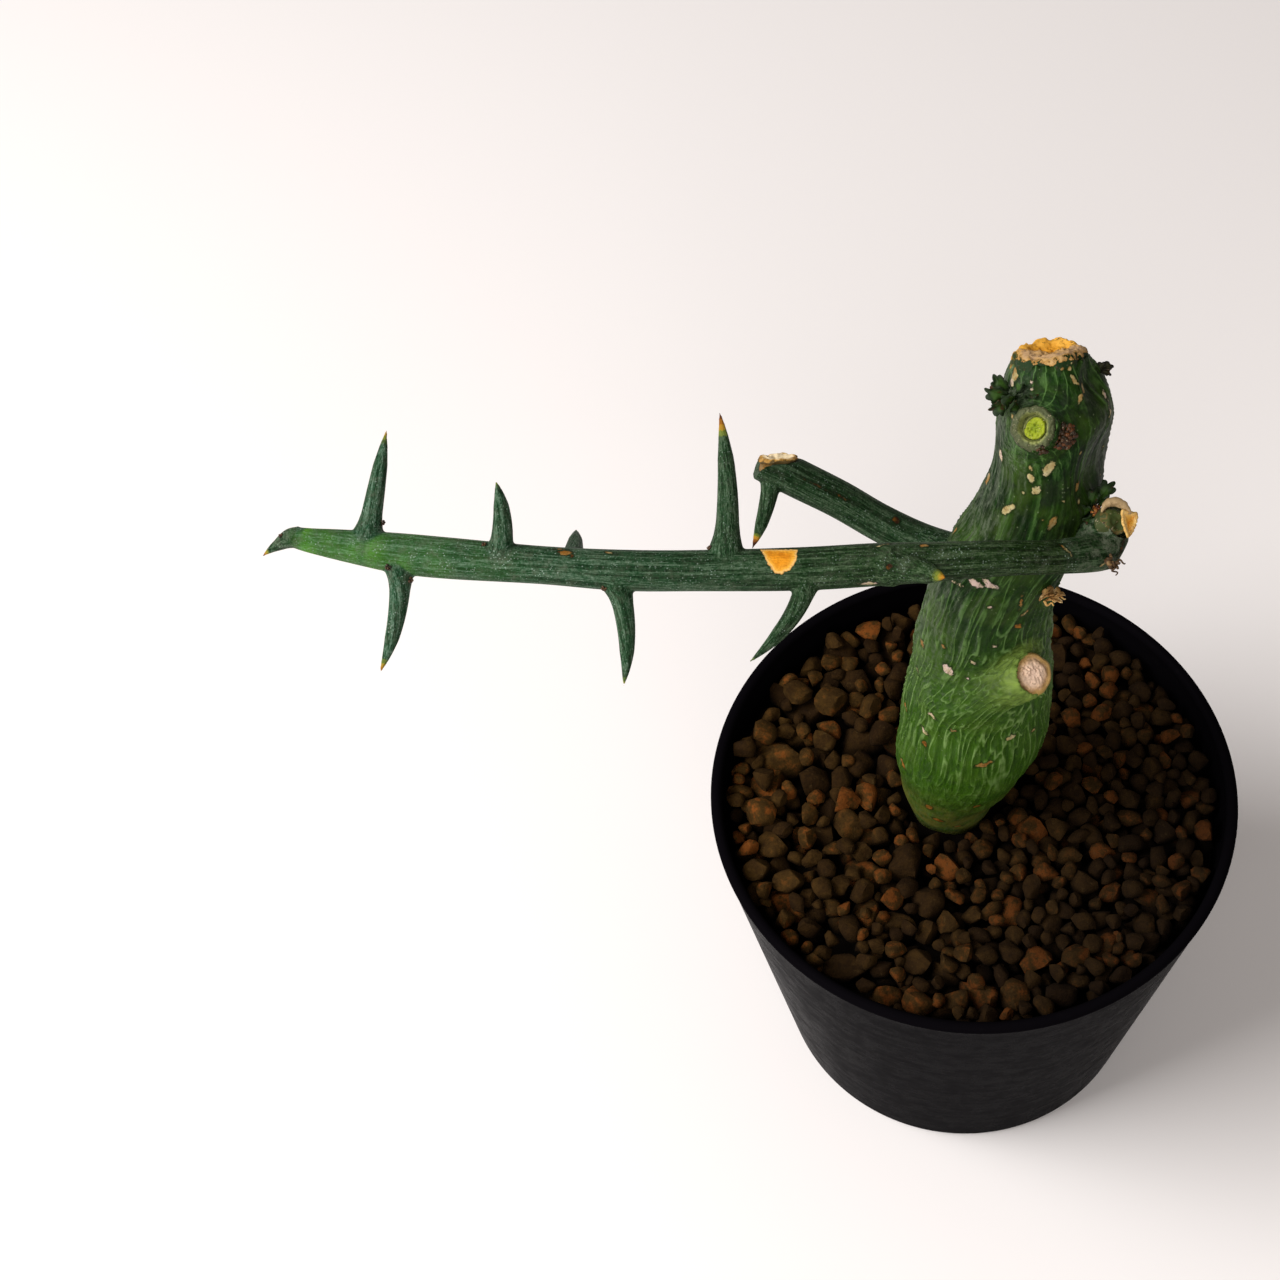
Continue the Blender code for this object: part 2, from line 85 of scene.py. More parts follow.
# %% Stations of the limbs
TRUNK = (
    (-2.8, 3.2, 58.0, 4.8),
    (-2.9, 3.1, 64.0, 5.8),
    (-2.9, 3.0, 70.0, 7.0),
    (-2.7, 2.6, 78.0, 8.8),
    (-1.9, 2.0, 87.0, 10.6),
    (-0.6, 1.0, 97.0, 11.8),
    (-0.2, 0.2, 106.5, 11.7),
    (0.0, -0.4, 120.0, 10.9),
    (0.2, -0.5, 130.0, 9.9),
    (0.6, -0.4, 139.0, 9.2),
    (2.4, 0.0, 146.5, 8.8),
    (5.2, 1.0, 152.0, 8.4),
    (7.7, 2.8, 158.0, 8.1),
    (9.4, 4.8, 163.5, 8.0),
    (10.2, 7.0, 168.5, 8.0),
    (10.0, 9.0, 173.0, 7.35),
    (9.8, 10.5, 175.8, 6.3),
    (9.8, 11.8, 178.0, 4.9),
)
TWIG_STUMP = (
    (6.0, 1.0, 148.5, 5.2),
    (10.5, -1.5, 152.5, 4.2),
    (14.6, -4.5, 156.8, 3.1),
    (16.9, -5.4, 159.6, 2.6),
)
LONG_BRANCH = (
    (16.4, -6.3, 155.2, 3.0),
    (14.0, -7.6, 156.6, 3.0),
    (11.5, -8.8, 158.0, 2.7),
    (6.0, -10.0, 160.5, 2.4),
    (-1.0, -10.5, 163.0, 2.5),
    (-9.5, -10.0, 164.0, 2.75),
    (-17.5, -8.5, 163.5, 3.0),
    (-28.5, -6.5, 162.7, 3.05),
    (-42.5, -4.5, 163.5, 2.9),
    (-53.0, -2.5, 163.8, 2.9),
    (-64.0, 0.5, 164.0, 2.7),
    (-76.5, 4.0, 164.3, 2.95),
    (-83.5, 6.5, 164.0, 2.9),
    (-90.5, 8.5, 165.0, 2.35),
    (-96.0, 10.1, 165.8, 1.75),
    (-98.0, 11.0, 165.9, 1.5),
)
# The branch ends in a beak: a bent thorn that carries its line on and turns down.
BEAK = (
    (-97.2, 10.9, 165.9, 1.5),
    (-98.5, 11.2, 165.5, 1.46),
    (-99.5, 11.4, 164.9, 1.22),
    (-100.6, 11.5, 164.1, 0.91),
    (-101.6, 11.5, 163.5, 0.63),
    (-102.4, 11.4, 163.0, 0.40),
    (-103.0, 11.3, 162.6, 0.21),
    (-103.5, 11.2, 162.3, 0.08),
)
BACK_BRANCH = (
    (-1.2, 1.7, 143.0, 4.3),
    (-7.8, 7.0, 143.4, 3.1),
    (-13.9, 10.6, 145.9, 2.85),
    (-19.3, 13.5, 149.3, 2.85),
    (-24.8, 16.0, 152.5, 2.9),
    (-30.0, 18.3, 155.6, 2.9),
)
FRONT_STUMP = (
    (9.0, 6.0, 169.5, 4.3),
    (6.9, 3.6, 172.4, 3.6),
    (5.5, 1.8, 174.9, 3.05),
)
LOW_STUMP = (
    (-3.6, -5.2, 121.0, 6.6),
    (-1.0, -8.0, 125.5, 5.3),
    (2.0, -10.6, 130.2, 4.1),
    (4.4, -12.4, 133.6, 3.2),
)


def smooth_rows(stations, step):
    """Rows of x, y, z and radius in metres, about a step apart, on a smooth curve through the stations."""
    rows = np.array(stations, float) * MM
    ends = np.vstack([2 * rows[0] - rows[1], rows, 2 * rows[-1] - rows[-2]])
    made = []
    for index in range(len(rows) - 1):
        before, start, end, after = ends[index : index + 4]
        count = max(1, round(float(np.linalg.norm((end - start)[:3])) / step))
        for share in np.arange(count) / count:
            linear = (end - before) * share
            square = (2 * before - 5 * start + 4 * end - after) * share**2
            cube = (3 * start - before - 3 * end + after) * share**3
            made.append(0.5 * (2 * start + linear + square + cube))
    return np.array([*made, rows[-1]])


ROW_STEP = 1.0 * MM
trunk_rows = smooth_rows(TRUNK, ROW_STEP)
print("trunk rows:", len(trunk_rows), "long branch rows:", len(smooth_rows(LONG_BRANCH, ROW_STEP)))

# %% [markdown]
# A limb is a round rod that swells and thins. It could be a stack of extruded rings, but a path
# with a bevel and a radius at each point gives the same skin and stays easy to change. The path is
# made a mesh, and the points of its caps are merged so that it closes.

# %% A limb from its rows
def deselect_all():
    if bpy.context.mode != "OBJECT":
        bpy.ops.object.mode_set(mode="OBJECT")
    bpy.ops.object.select_all(action="DESELECT")


def turn_out(merge=0.0):
    """Ends edit mode, with points nearer than that merged and all faces turned outwards."""
    bpy.ops.mesh.select_all(action="SELECT")
    if merge:
        bpy.ops.mesh.remove_doubles(threshold=merge)
    bpy.ops.mesh.normals_make_consistent(inside=False)
    bpy.ops.object.mode_set(mode="OBJECT")


def limb(name, rows, bevel_steps=8):
    """A closed mesh rod round the rows, each with its own radius."""
    deselect_all()
    bpy.ops.curve.primitive_nurbs_path_add()
    path = bpy.context.object
    path.name = name
    path.data.splines.clear()
    spline = path.data.splines.new("POLY")
    spline.points.add(len(rows) - 1)
    for point, row in zip(spline.points, rows):
        point.co = (*row[:3], 1)
        point.radius = row[3]
    path.data.bevel_depth = 1.0
    path.data.bevel_resolution = bevel_steps
    path.data.use_fill_caps = True
    bpy.ops.object.convert(target="MESH")
    rod = bpy.context.object
    bpy.ops.object.mode_set(mode="EDIT")
    turn_out(merge=0.001 * MM)
    return rod


# %% [markdown]
# Thorns on this plant are hard side shoots. Each starts as a wide flare on the branch, bows
# towards the branch's root and ends in a fine tip. A thorn is set by its place along the branch,
# its bearing round it (0 is up, 90 is away from the front), its length, how far its tip leans
# towards the branch's tip, how far its middle bows back, and its stoutness.

# %% Thorn tables and their curves
LONG_BRANCH_THORNS = (
    (36.0, -52, 7.4, -8.2, 0.4, 1.35),
    (46.8, -114, 12.9, 8.6, 2.0, 1.0),
    (58.4, 58, 22.2, 0.4, 0.8, 1.1),
    (73.8, -123, 16.2, -2.2, 1.1, 1.0),
    (80.0, 122, 13.2, 1.5, 0.2, 1.0),
    (90.2, 33, 12.2, 0.2, 0.8, 1.05),
    (104.6, -121, 17.2, 0.6, 1.1, 1.0),
    (109.4, 59, 17.1, -0.4, 0.0, 1.0),
)
BACK_BRANCH_THORNS = ((34.4, -117, 12.4, -2.2, 0.5, 0.9),)
THORN_ROWS = 28
# Share of the length, and the radius there in millimetres.
THORN_PROFILE = (
    (0.0, 2.3),
    (0.14, 2.2),
    (0.21, 1.75),
    (0.30, 1.5),
    (0.5, 1.3),
    (0.7, 1.05),
    (0.85, 0.62),
    (0.94, 0.3),
    (1.0, 0.07),
)


def lengths_along(rows):
    steps = np.linalg.norm(np.diff(rows[:, :3], axis=0), axis=1)
    return np.concatenate([[0], np.cumsum(steps)])


def branch_frame(rows, along):
    """The place, direction and two square directions of a branch at a distance from its root."""
    lengths = lengths_along(rows)
    at = min(along * MM, lengths[-1] - 0.01 * MM)
    index = int(np.searchsorted(lengths, at, side="right")) - 1
    share = (at - lengths[index]) / (lengths[index + 1] - lengths[index])
    place = Vector(rows[index, :3] * (1 - share) + rows[index + 1, :3] * share)
    forward = Vector(rows[index + 1, :3] - rows[index, :3]).normalized()
    up = (Vector((0, 0, 1)) - forward * forward.z).normalized()
    return place, forward, up, forward.cross(up)


def thorn_rows(branch, values):
    """Rows along one thorn, from the middle of the branch to the tip."""
    along, bearing, length, lean, bow, stoutness = values
    place, forward, up, side = branch_frame(branch, along)
    turn = math.radians(bearing)
    outward = up * math.cos(turn) + side * math.sin(turn)
    tip = place + (outward * length + forward * lean) * MM
    elbow = (place + tip) / 2 - forward * 2 * bow * MM
    known, radii = zip(*THORN_PROFILE)
    made = []
    for share in np.linspace(0, 1, THORN_ROWS):
        point = place * (1 - share) ** 2 + elbow * 2 * share * (1 - share) + tip * share**2
        radius = float(np.interp(share, known, radii)) * stoutness * MM
        made.append((*point, radius))
    return np.array(made)


long_rows = smooth_rows(LONG_BRANCH, ROW_STEP)
back_rows = smooth_rows(BACK_BRANCH, ROW_STEP)
long_thorns = [thorn_rows(long_rows, values) for values in LONG_BRANCH_THORNS]
long_thorns.append(smooth_rows(BEAK, 0.3 * MM))
back_thorns = [thorn_rows(back_rows, values) for values in BACK_BRANCH_THORNS]
print("thorns:", len(long_thorns), "+", len(back_thorns))

# %% [markdown]
# Where limbs meet, living bark flows from one into the next without an edge. Joined rods would
# cross with sharp creases. A voxel remesh wraps all of them in one even skin, and a light smoothing
# rounds the places where they meet. The even skin also gives enough points to raise the wrinkles.

# %% One skin over joined limbs
SKIN_SMOOTHING = 3


def joined(name, bodies):
    """Several bodies made one."""
    deselect_all()
    for body in bodies:
        body.select_set(True)
    bpy.context.view_layer.objects.active = bodies[0]
    if len(bodies) > 1:
        bpy.ops.object.join()
    made = bpy.context.object
    made.name = made.data.name = name
    return made


def wrap(name, limbs, voxel, bevel_steps=8):
    """One closed, softened skin over limbs given by their rows, with points about a voxel apart."""
    body = joined(name, [limb(name, rows, bevel_steps) for rows in limbs])
    skin = body.modifiers.new("skin", "REMESH")
    skin.mode = "VOXEL"
    skin.voxel_size = voxel
    skin.use_smooth_shade = True
    bpy.ops.object.modifier_apply(modifier=skin.name)
    soften = body.modifiers.new("soften", "SMOOTH")
    soften.factor = 0.5
    soften.iterations = SKIN_SMOOTHING
    bpy.ops.object.modifier_apply(modifier=soften.name)
    return body


TRUNK_VOXEL = 0.335 * MM
BRANCH_VOXEL = 0.225 * MM
trunk_limbs = [trunk_rows] + [smooth_rows(table, ROW_STEP) for table in (FRONT_STUMP, LOW_STUMP)]
trunk = wrap("trunk", trunk_limbs, TRUNK_VOXEL, bevel_steps=16)
print("trunk faces:", len(trunk.data.polygons))

twig_rows = smooth_rows(TWIG_STUMP, ROW_STEP)
long_limbs = [long_rows, twig_rows, *long_thorns]
long_branch = wrap("long_branch", long_limbs, BRANCH_VOXEL)
back_limbs = [back_rows, *back_thorns]
back_branch = wrap("back_branch", back_limbs, BRANCH_VOXEL)
print("branch faces:", len(long_branch.data.polygons), len(back_branch.data.polygons))

# %% [markdown]
# Bark has a grain: it runs along each limb, and where a side shoot leaves the trunk the grain turns
# and runs out along the shoot. To follow it, every point of a skin is matched with the nearest row
# of each limb. How far the point lies from each limb's own skin says how much it belongs to it.

# %% Which limb a point belongs to
class Grain:
    """Middles, radii, directions and lengths along of all rows of a group of limbs."""

    CHUNK = 8000

    def __init__(self, limbs):
        self.owner = np.concatenate([np.full(len(rows), i) for i, rows in enumerate(limbs)])
        self.count = len(limbs)
        self.rows = np.vstack(limbs)
        self.along = np.concatenate([lengths_along(rows) for rows in limbs])
        ways, fronts = [], []
        for rows in limbs:
            way = np.gradient(rows[:, :3], axis=0)
            way /= np.linalg.norm(way, axis=1, keepdims=True)
            front = np.cross(way, (0.31, 0.9, 0.29))
            front /= np.linalg.norm(front, axis=1, keepdims=True)
            ways.append(way)
            fronts.append(front)
        self.way = np.vstack(ways)
        self.front = np.vstack(fronts)
        self.side = np.cross(self.way, self.front)

    def nearest(self, points):
        """For each point and limb: the nearest row, and the distance out of that limb's skin."""
        rows = np.zeros((len(points), self.count), int)
        outside = np.zeros((len(points), self.count))
        for start in range(0, len(points), self.CHUNK):
            part = points[start : start + self.CHUNK]
            for limb_index in range(self.count):
                own = np.flatnonzero(self.owner == limb_index)
                apart = np.linalg.norm(part[:, None] - self.rows[None, own, :3], axis=2)
                apart -= self.rows[None, own, 3]
                best = apart.argmin(axis=1)
                rows[start : start + self.CHUNK, limb_index] = own[best]
                outside[start : start + self.CHUNK, limb_index] = apart[np.arange(len(part)), best]
        return rows, outside

    def read(self, points, blend):
        """The way of the grain, and fibre coordinates (two across the limb and one along it)."""
        return self.blended(points, *self.nearest(points), blend, list(range(self.count)))

    def blended(self, points, rows, outside, blend, chosen):
        """The same from known nearest rows, for some of the limbs only."""
        share = np.zeros(outside.shape)
        best = outside[:, chosen].min(axis=1, keepdims=True)
        share[:, chosen] = np.exp(-(outside[:, chosen] - best) / blend)
        share /= share.sum(axis=1, keepdims=True)
        way = np.zeros((len(points), 3))
        fibre = np.zeros((len(points), 3))
        for limb_index in chosen:
            row = rows[:, limb_index]
            offset = points - self.rows[row, :3]
            part = share[:, limb_index, None]
            across = (offset * self.front[row]).sum(1)
            aside = (offset * self.side[row]).sum(1)
            along = self.along[row] + (offset * self.way[row]).sum(1)
            way += part * self.way[row]
            fibre += part * np.stack([across, aside, along], 1)
        way /= np.linalg.norm(way, axis=1, keepdims=True) + 1e-9
        return way, fibre


# %% [markdown]
# The wrinkles on the trunk join, split and wander, but always follow the grain. Waves drawn by a
# formula look too regular. Smearing works better: random numbers fill space like grains of sand, and
# each point of the skin takes the mean of the numbers met on a short walk along the grain, both
# ways. Neighbours on the same line meet the same numbers, so long ridges appear on their own.

# %% Random numbers in space, smeared along the grain
def corners_of(low, share):
    """The eight corners of each point's cell, with their weights."""
    for corner in np.ndindex(2, 2, 2):
        yield low + corner, np.prod(np.where(corner, share, 1 - share), axis=1)


class Lattice:
    """Smooth random values in space, the same each run."""

    def __init__(self, seed, cell):
        self.cell = cell
        self.size = 64  # cells to a side, after which the values repeat
        self.table = np.random.default_rng(seed).normal(size=(self.size,) * 3)

    def __call__(self, points):
        scaled = points / self.cell
        low = np.floor(scaled).astype(int)
        share = scaled - low
        share = share * share * (3 - 2 * share)
        total = np.zeros(len(points))
        for index, weight in corners_of(low, share):
            total += weight * self.table[tuple((index % self.size).T)]
        return total


class WayField:
    """The way of the grain on a coarse grid of space, swaying a little, for walks to read quickly."""

    def __init__(self, grain, points, cell, blend, sway, sway_cell):
        self.cell = cell
        self.low = points.min(axis=0) - 2 * cell
        self.shape = np.ceil((points.max(axis=0) + 2 * cell - self.low) / cell).astype(int) + 1
        nodes = np.indices(self.shape).reshape(3, -1).T * cell + self.low
        way = grain.read(nodes, blend)[0]
        push = np.stack([Lattice(90 + axis, sway_cell)(nodes) for axis in range(3)], 1)
        push -= way * (push * way).sum(1, keepdims=True)
        self.way = (way + sway * push).reshape(*self.shape, 3)

    def __call__(self, points):
        scaled = (points - self.low) / self.cell
        low = np.clip(np.floor(scaled).astype(int), 0, self.shape - 2)
        share = scaled - low
        total = np.zeros_like(points)
        for index, weight in corners_of(low, share):
            total += weight[:, None] * self.way[tuple(index.T)]
        return total / (np.linalg.norm(total, axis=1, keepdims=True) + 1e-9)


def smeared(points, field, lattices, reach, step):
    """The mean of each lattice on a walk of that reach along the grain, both ways."""
    totals = [lattice(points) for lattice in lattices]
    for sense in (1, -1):
        walker = points.copy()
        for turn in range(int(reach / step)):
            walker = walker + sense * step * field(walker)
            fade = 1 - turn * step / reach
            for total, lattice in zip(totals, lattices):
                total += fade * lattice(walker)
    return [total / total.std() for total in totals]


def vectors_of(body, kind):
    flat = np.empty(len(body.data.vertices) * 3, np.float32)
    body.data.vertices.foreach_get(kind, flat)
    return flat.reshape(-1, 3).astype(float)


def points_of(body):
    return vectors_of(body, "co")


def normals_of(body):
    return vectors_of(body, "normal")


def move_points(body, points):
    body.data.vertices.foreach_set("co", points.astype(np.float32).ravel())
    body.data.update()


def keep_values(body, **named):
    """Saves numbers at each point under their names, for the material to read."""
    for name, values in named.items():
        made = body.data.attributes.new(name, "FLOAT", "POINT")
        made.data.foreach_set("value", np.full(len(body.data.vertices), values, np.float32))


def keep_vector(body, name, values):
    made = body.data.attributes.new(name, "FLOAT_VECTOR", "POINT")
    made.data.foreach_set("vector", np.asarray(values, np.float32).ravel())


# %% [markdown]
# Where the smeared field changes sign it draws thin lines that never end: they run along the grain,
# meet and part again, as the pale ridges do. So a ridge stands where the field is near zero. The
# field itself is kept on the skin, and the finish reads it, because it stays smooth between points.

# %% Wrinkles raised on the trunk
WRINKLE_CELL = 0.76 * MM
WRINKLE_REACH = 22 * MM
WRINKLE_STEP = 0.5 * MM
WRINKLE_SWAY = 0.13
WRINKLE_SWAY_CELL = 3.4 * MM
WRINKLE_RISE = 0.30 * MM
RIB_PAIRS = 11
FINE_RISE = 0.12 * MM
RIB_RISE = 0.13 * MM
LUMP_CELL = 7 * MM
LUMP_RISE = 0.28 * MM
FIELD_CELL = 1.6 * MM
FIELD_BLEND = 2.0 * MM
FIBRE_BLEND = 1.2 * MM


def ridge_from(field, width):
    return np.clip(1 - np.abs(field) / width, 0, 1)


trunk_grain = Grain(trunk_limbs)
trunk_points = points_of(trunk)
sway = WRINKLE_SWAY, WRINKLE_SWAY_CELL
trunk_field = WayField(trunk_grain, trunk_points, FIELD_CELL, FIELD_BLEND, *sway)
lattices = Lattice(5, WRINKLE_CELL), Lattice(6, 0.6 * WRINKLE_CELL)
broad, fine = smeared(trunk_points, trunk_field, lattices, WRINKLE_REACH, WRINKLE_STEP)
trunk_way, trunk_fibre = trunk_grain.read(trunk_points, FIBRE_BLEND)
height = trunk_points[:, 2] / MM
head = np.clip((height - 148) / 14, 0, 1)
bearing = np.arctan2(trunk_fibre[:, 1], trunk_fibre[:, 0])
wander = Lattice(9, 4.5 * MM)(trunk_points) * 0.5 + Lattice(10, 1.8 * MM)(trunk_points) * 0.2
uneven = 0.8 * np.sin(3 * bearing + 1) + 0.6 * np.sin(5 * bearing + 2)
rib = np.sin(RIB_PAIRS * bearing + uneven + wander) * 1.4
wrinkled = np.clip((height - 78) / 26, 0, 1) * (1 - 0.75 * head)
rise = WRINKLE_RISE * wrinkled * (ridge_from(broad, 0.85) ** 1.3 - 0.35)
rise += FINE_RISE * wrinkled * ridge_from(fine, 0.8)
rise += RIB_RISE * head * (ridge_from(rib, 0.8) - 0.3)
rise += LUMP_RISE * Lattice(8, LUMP_CELL)(trunk_points)
move_points(trunk, trunk_points + normals_of(trunk) * rise[:, None])
print("wrinkles: from", round(float(rise.min()) / MM, 2), "to", round(float(rise.max()) / MM, 2), "mm")

# %% [markdown]
# Leaves and bark flakes have left pale corky scars. The larger ones are set where the photograph
# shows them: a ray from the camera through a pixel of its 1280 x 1280 frame finds the place on the
# skin. Each point of the skin then keeps how far inside the nearest scar it lies, in millimetres,
# so that the finish can draw a crisp, ragged edge between points.

# %% Rays from the camera, and scars kept on a skin
CAMERA_TURN = camera.matrix_world.to_3x3()
CAMERA_FORWARD = CAMERA_TURN @ Vector((0, 0, -1))


def pixel_ray(u, v):
    """The direction of the ray from the camera through a pixel of the photograph."""
    middle = FRAME_PIXELS / 2
    return (CAMERA_TURN @ Vector((u - middle, middle - v, -FOCAL_PIXELS))).normalized()


def seen_on(body, u, v):
    """The place and normal of the skin that shows at a pixel, or None."""
    hit, place, normal, _ = body.ray_cast(CAMERA_PLACE, pixel_ray(u, v))
    return (np.array(place), np.array(normal)) if hit else None


def photo_way(slant, near):
    """A direction: degrees from the photograph's right, and the share towards the viewer."""
    turn = math.radians(slant)
    return (CAMERA_TURN @ Vector((math.cos(turn), math.sin(turn), near))).normalized()


PHOTO_RIGHT, PHOTO_UP = photo_way(0, 0), photo_way(90, 0)
PHOTO_NEAR = photo_way(0, 1e6)


def at_pixel(u, v, body, sink=0.0):
    """The point of a skin at a pixel, pushed in by some millimetres."""
    place, normal = seen_on(body, u, v)
    return Vector(place - normal * sink * MM)


def beside(u, v, place, nearer=0.0):
    """The point at a pixel that is as far from the camera as a place, or nearer by some mm."""
    way = pixel_ray(u, v)
    depth = (Vector(place) - CAMERA_PLACE).dot(CAMERA_FORWARD) - nearer * MM
    return CAMERA_PLACE + way * (depth / way.dot(CAMERA_FORWARD))


def pixels_per_mm(place):
    return FOCAL_PIXELS * MM / (Vector(place) - CAMERA_PLACE).dot(CAMERA_FORWARD)


class Scars:
    """How far inside a scar each point of a skin lies, in mm, with each scar's tone and rise."""

    FACING = 0.15  # how squarely a point's normal has to face the scar's
    DEPTH = 3  # how far a scar reaches into the skin, in mm

    def __init__(self, body):
        self.body = body
        self.points = points_of(body)
        self.normals = normals_of(body)
        self.inside = np.full(len(self.points), -1.0)
        self.tone = np.zeros(len(self.points))
        self.rise = np.zeros(len(self.points))

    def put(self, inside, normal, tone, rise):
        facing = self.normals @ normal > self.FACING
        better = facing & (inside > self.inside)
        self.inside[better] = np.maximum(inside[better], -1)
        self.tone[better] = tone
        self.rise[better] = np.clip((inside[better] + 0.3) / 0.5, 0, 1) * rise

    def oval(self, place, normal, long_way, half_length, half_width, tone, rise):
        long_way = long_way - normal * (long_way @ normal)
        long_way /= np.linalg.norm(long_way)
        offset = (self.points - place) / MM
        along, across = offset @ long_way, offset @ np.cross(normal, long_way)
        depth = (offset @ normal) / self.DEPTH
        reach = np.sqrt((along / half_length) ** 2 + (across / half_width) ** 2 + depth**2)
        self.put((1 - reach) * min(half_length, half_width), normal, tone, rise)

    def seen(self, u, v, half_length, half_width, slant, tone, rise):
        """A scar by its pixel, its half sizes in pixels and its slant in degrees from the right."""
        place, normal = seen_on(self.body, u, v)
        turn = math.radians(slant)
        way = np.array(CAMERA_TURN @ Vector((math.cos(turn), math.sin(turn), 0)))
        size = pixels_per_mm(place)
        self.oval(place, normal, way, half_length / size, half_width / size, tone, rise)

    def keep(self):
        keep_values(self.body, scar=self.inside, tone=self.tone)
        move_points(self.body, self.points + self.normals * (self.rise * MM)[:, None])


# %% [markdown]
# Seen from the front left, the right side of the head is pinched in twice, below the dried top and,
# in a longer hollow, above the elbow. By hand this is a soft brush that pushes the skin in. Here each
# push has a middle, a reach and a depth, and fades out smoothly.

# %% Hollows in the outline of the head
# Pixel, reach in mm and depth in mm. The last two overlap.
HOLLOWS = ((1098, 382, 4.0, 1.7), (1104, 466, 8.0, 2.6), (1088, 493, 5.0, 1.0))
inward = np.array(photo_way(180, 0))
for u, v, reach, depth in HOLLOWS:
    edge = seen_on(trunk, u, v)[0]
    points = points_of(trunk)
    near = np.clip(1 - (np.linalg.norm(points - edge, axis=1) / (reach * MM)) ** 2, 0, 1) ** 2
    move_points(trunk, points + near[:, None] * inward * depth * MM)
    print("hollow:", int((near > 0).sum()), "points moved by up to", depth, "mm")

# %% Scars on the trunk
# Pixel across and down, half length and half width in pixels, slant, tone (0 pink-white, 0.25
# cream, 0.5 tan, 0.75 orange, 1 dark brown) and rise in millimetres.
TRUNK_SCARS = (
    (1015, 374, 8, 5, 60, 0.45, 0.1),
    (1074, 380, 7, 2.4, -55, 0.4, 0.1),
    (1082, 388, 6, 3.2, -75, 0.42, 0.1),
    (1080, 399, 6, 2.2, 70, 0.4, 0.1),
    (1032, 382, 2, 1.8, 0, 0.05, 0.1),
    (1032, 389, 2, 1.8, 0, 0.1, 0.1),
    (1057, 360, 4, 3, 0, 0.3, 0.15),
    (1063, 362, 4.5, 3.5, 20, 0.42, 0.2),
    (1067, 357, 8, 3.5, -14, 0.36, 0.1),
    (1070, 361, 4, 3.5, -30, 0.3, 0.15),
    (1062, 368, 2.5, 2, 60, 0.5, 0.1),
    (1069, 369, 2.5, 2, 60, 0.4, 0.1),
    (1078, 358, 4, 2, 0, 0.35, 0.1),
    (1024, 356, 4, 2, -30, 0.35, 0.1),
    (1041, 360, 3, 2, 0, 0.2, 0.1),
    (1002, 456, 6.5, 3.2, -70, 0.15, 0.2),
    (1049, 468, 10, 4.6, 62, 0.3, 0.15),
    (1031, 468, 3, 2, 80, 0.4, 0.1),
    (1031, 478, 6, 3.6, -75, 0.32, 0.15),
    (1037, 490, 5.5, 4, 40, 0.28, 0.15),
    (1007, 510, 7, 4, 25, 0.3, 0.1),
    (1013, 507, 4, 2.5, 60, 0.25, 0.1),
    (1077, 486, 6.5, 3.6, 80, 0.62, 0.1),
    (1078, 502, 4, 2, 80, 0.4, 0.1),
    (1080, 453, 2, 2, 0, 0.5, 0.1),
    (1052, 523, 8, 3.6, 75, 0.5, 0.1),
    (1063, 501, 2, 1.6, 0, 0.3, 0.1),
    (1023, 493, 1.6, 1.4, 0, 0.3, 0.05),
    (1042, 520, 2, 1.4, 60, 0.55, 0.05),
    (1100, 475, 2, 1.5, 0, 0.5, 0.05),
    (1103, 447, 3, 1.5, 80, 0.4, 0.05),
    (989, 475, 2.5, 2, 60, 0.1, 0.1),
    (1013, 418, 4, 2, 70, 0.45, 0.1),
    (1104, 394, 6, 2.2, -62, 0.12, 0.1),
    (1108, 403, 5, 2.0, -70, 0.15, 0.1),
    (1110, 412, 5, 2.0, -80, 0.2, 0.15),
    (975, 583, 7, 3.4, -20, 0.02, 0.2),
    (990, 585, 7.5, 3.4, -25, 0.02, 0.2),
    (955, 582, 11, 1.5, 0, 0.15, 0.1),
    (989, 607, 3, 1.9, -10, 0.05, 0.15),
    (994, 646, 3, 2.3, 0, 0.15, 0.15),
    (973, 662, 4, 2, -60, 0.12, 0.15),
    (968, 678, 1.8, 1.6, 0, 0.05, 0.1),
    (949, 669, 6, 5.5, -40, 0.06, 0.5),
    (932, 715, 5.2, 2.4, -40, 0.2, 0.15),
    (924, 731, 5.6, 2.5, -45, 0.2, 0.15),
    (1010, 736, 4.6, 4.6, 0, 0.32, 0.35),
    (953, 731, 3, 2, 60, 0.5, 0.05),
    (923, 643, 5, 3.4, 80, 0.6, 0.1),
    (943, 646, 4, 1.8, 80, 0.5, 0.05),
    (918, 670, 4, 1.8, 80, 0.25, 0.1),
    (906, 706, 5.5, 2.6, 75, 0.62, 0.1),
    (925, 744, 5, 3, 60, 0.85, 0.0),
    (903, 764, 7, 2.8, 85, 0.66, 0.05),
    (984, 765, 8, 3.6, 75, 0.66, 0.05),
    (929, 807, 6, 4, 60, 0.72, 0.05),
    (938, 820, 6, 4.5, -60, 0.8, 0.05),
    (958, 826, 5, 2.6, 0, 0.6, 0.05),
    (977, 806, 4.5, 3.4, 60, 0.8, 0.05),
    (1033, 730, 3.4, 2.6, 60, 0.5, 0.05),
    (1021, 601, 9, 1.5, -80, 0.6, 0.1),
    (1025, 613, 6, 1.6, 75, 0.5, 0.1),
    (1018, 626, 4, 3, 0, 0.85, 0.0),
    (955, 531, 7, 2, -5, 0.6, 0.1),
)
HIDDEN_SCARS = 46
AWAY = np.array((0, 0.95, 0.3))
GRIT_HEIGHT = 82
trunk_scars = Scars(trunk)
for row in TRUNK_SCARS:
    trunk_scars.seen(*row)
mark_draw = np.random.default_rng(61)
behind = np.flatnonzero((trunk_scars.normals @ AWAY > 0.1) & (height > GRIT_HEIGHT))
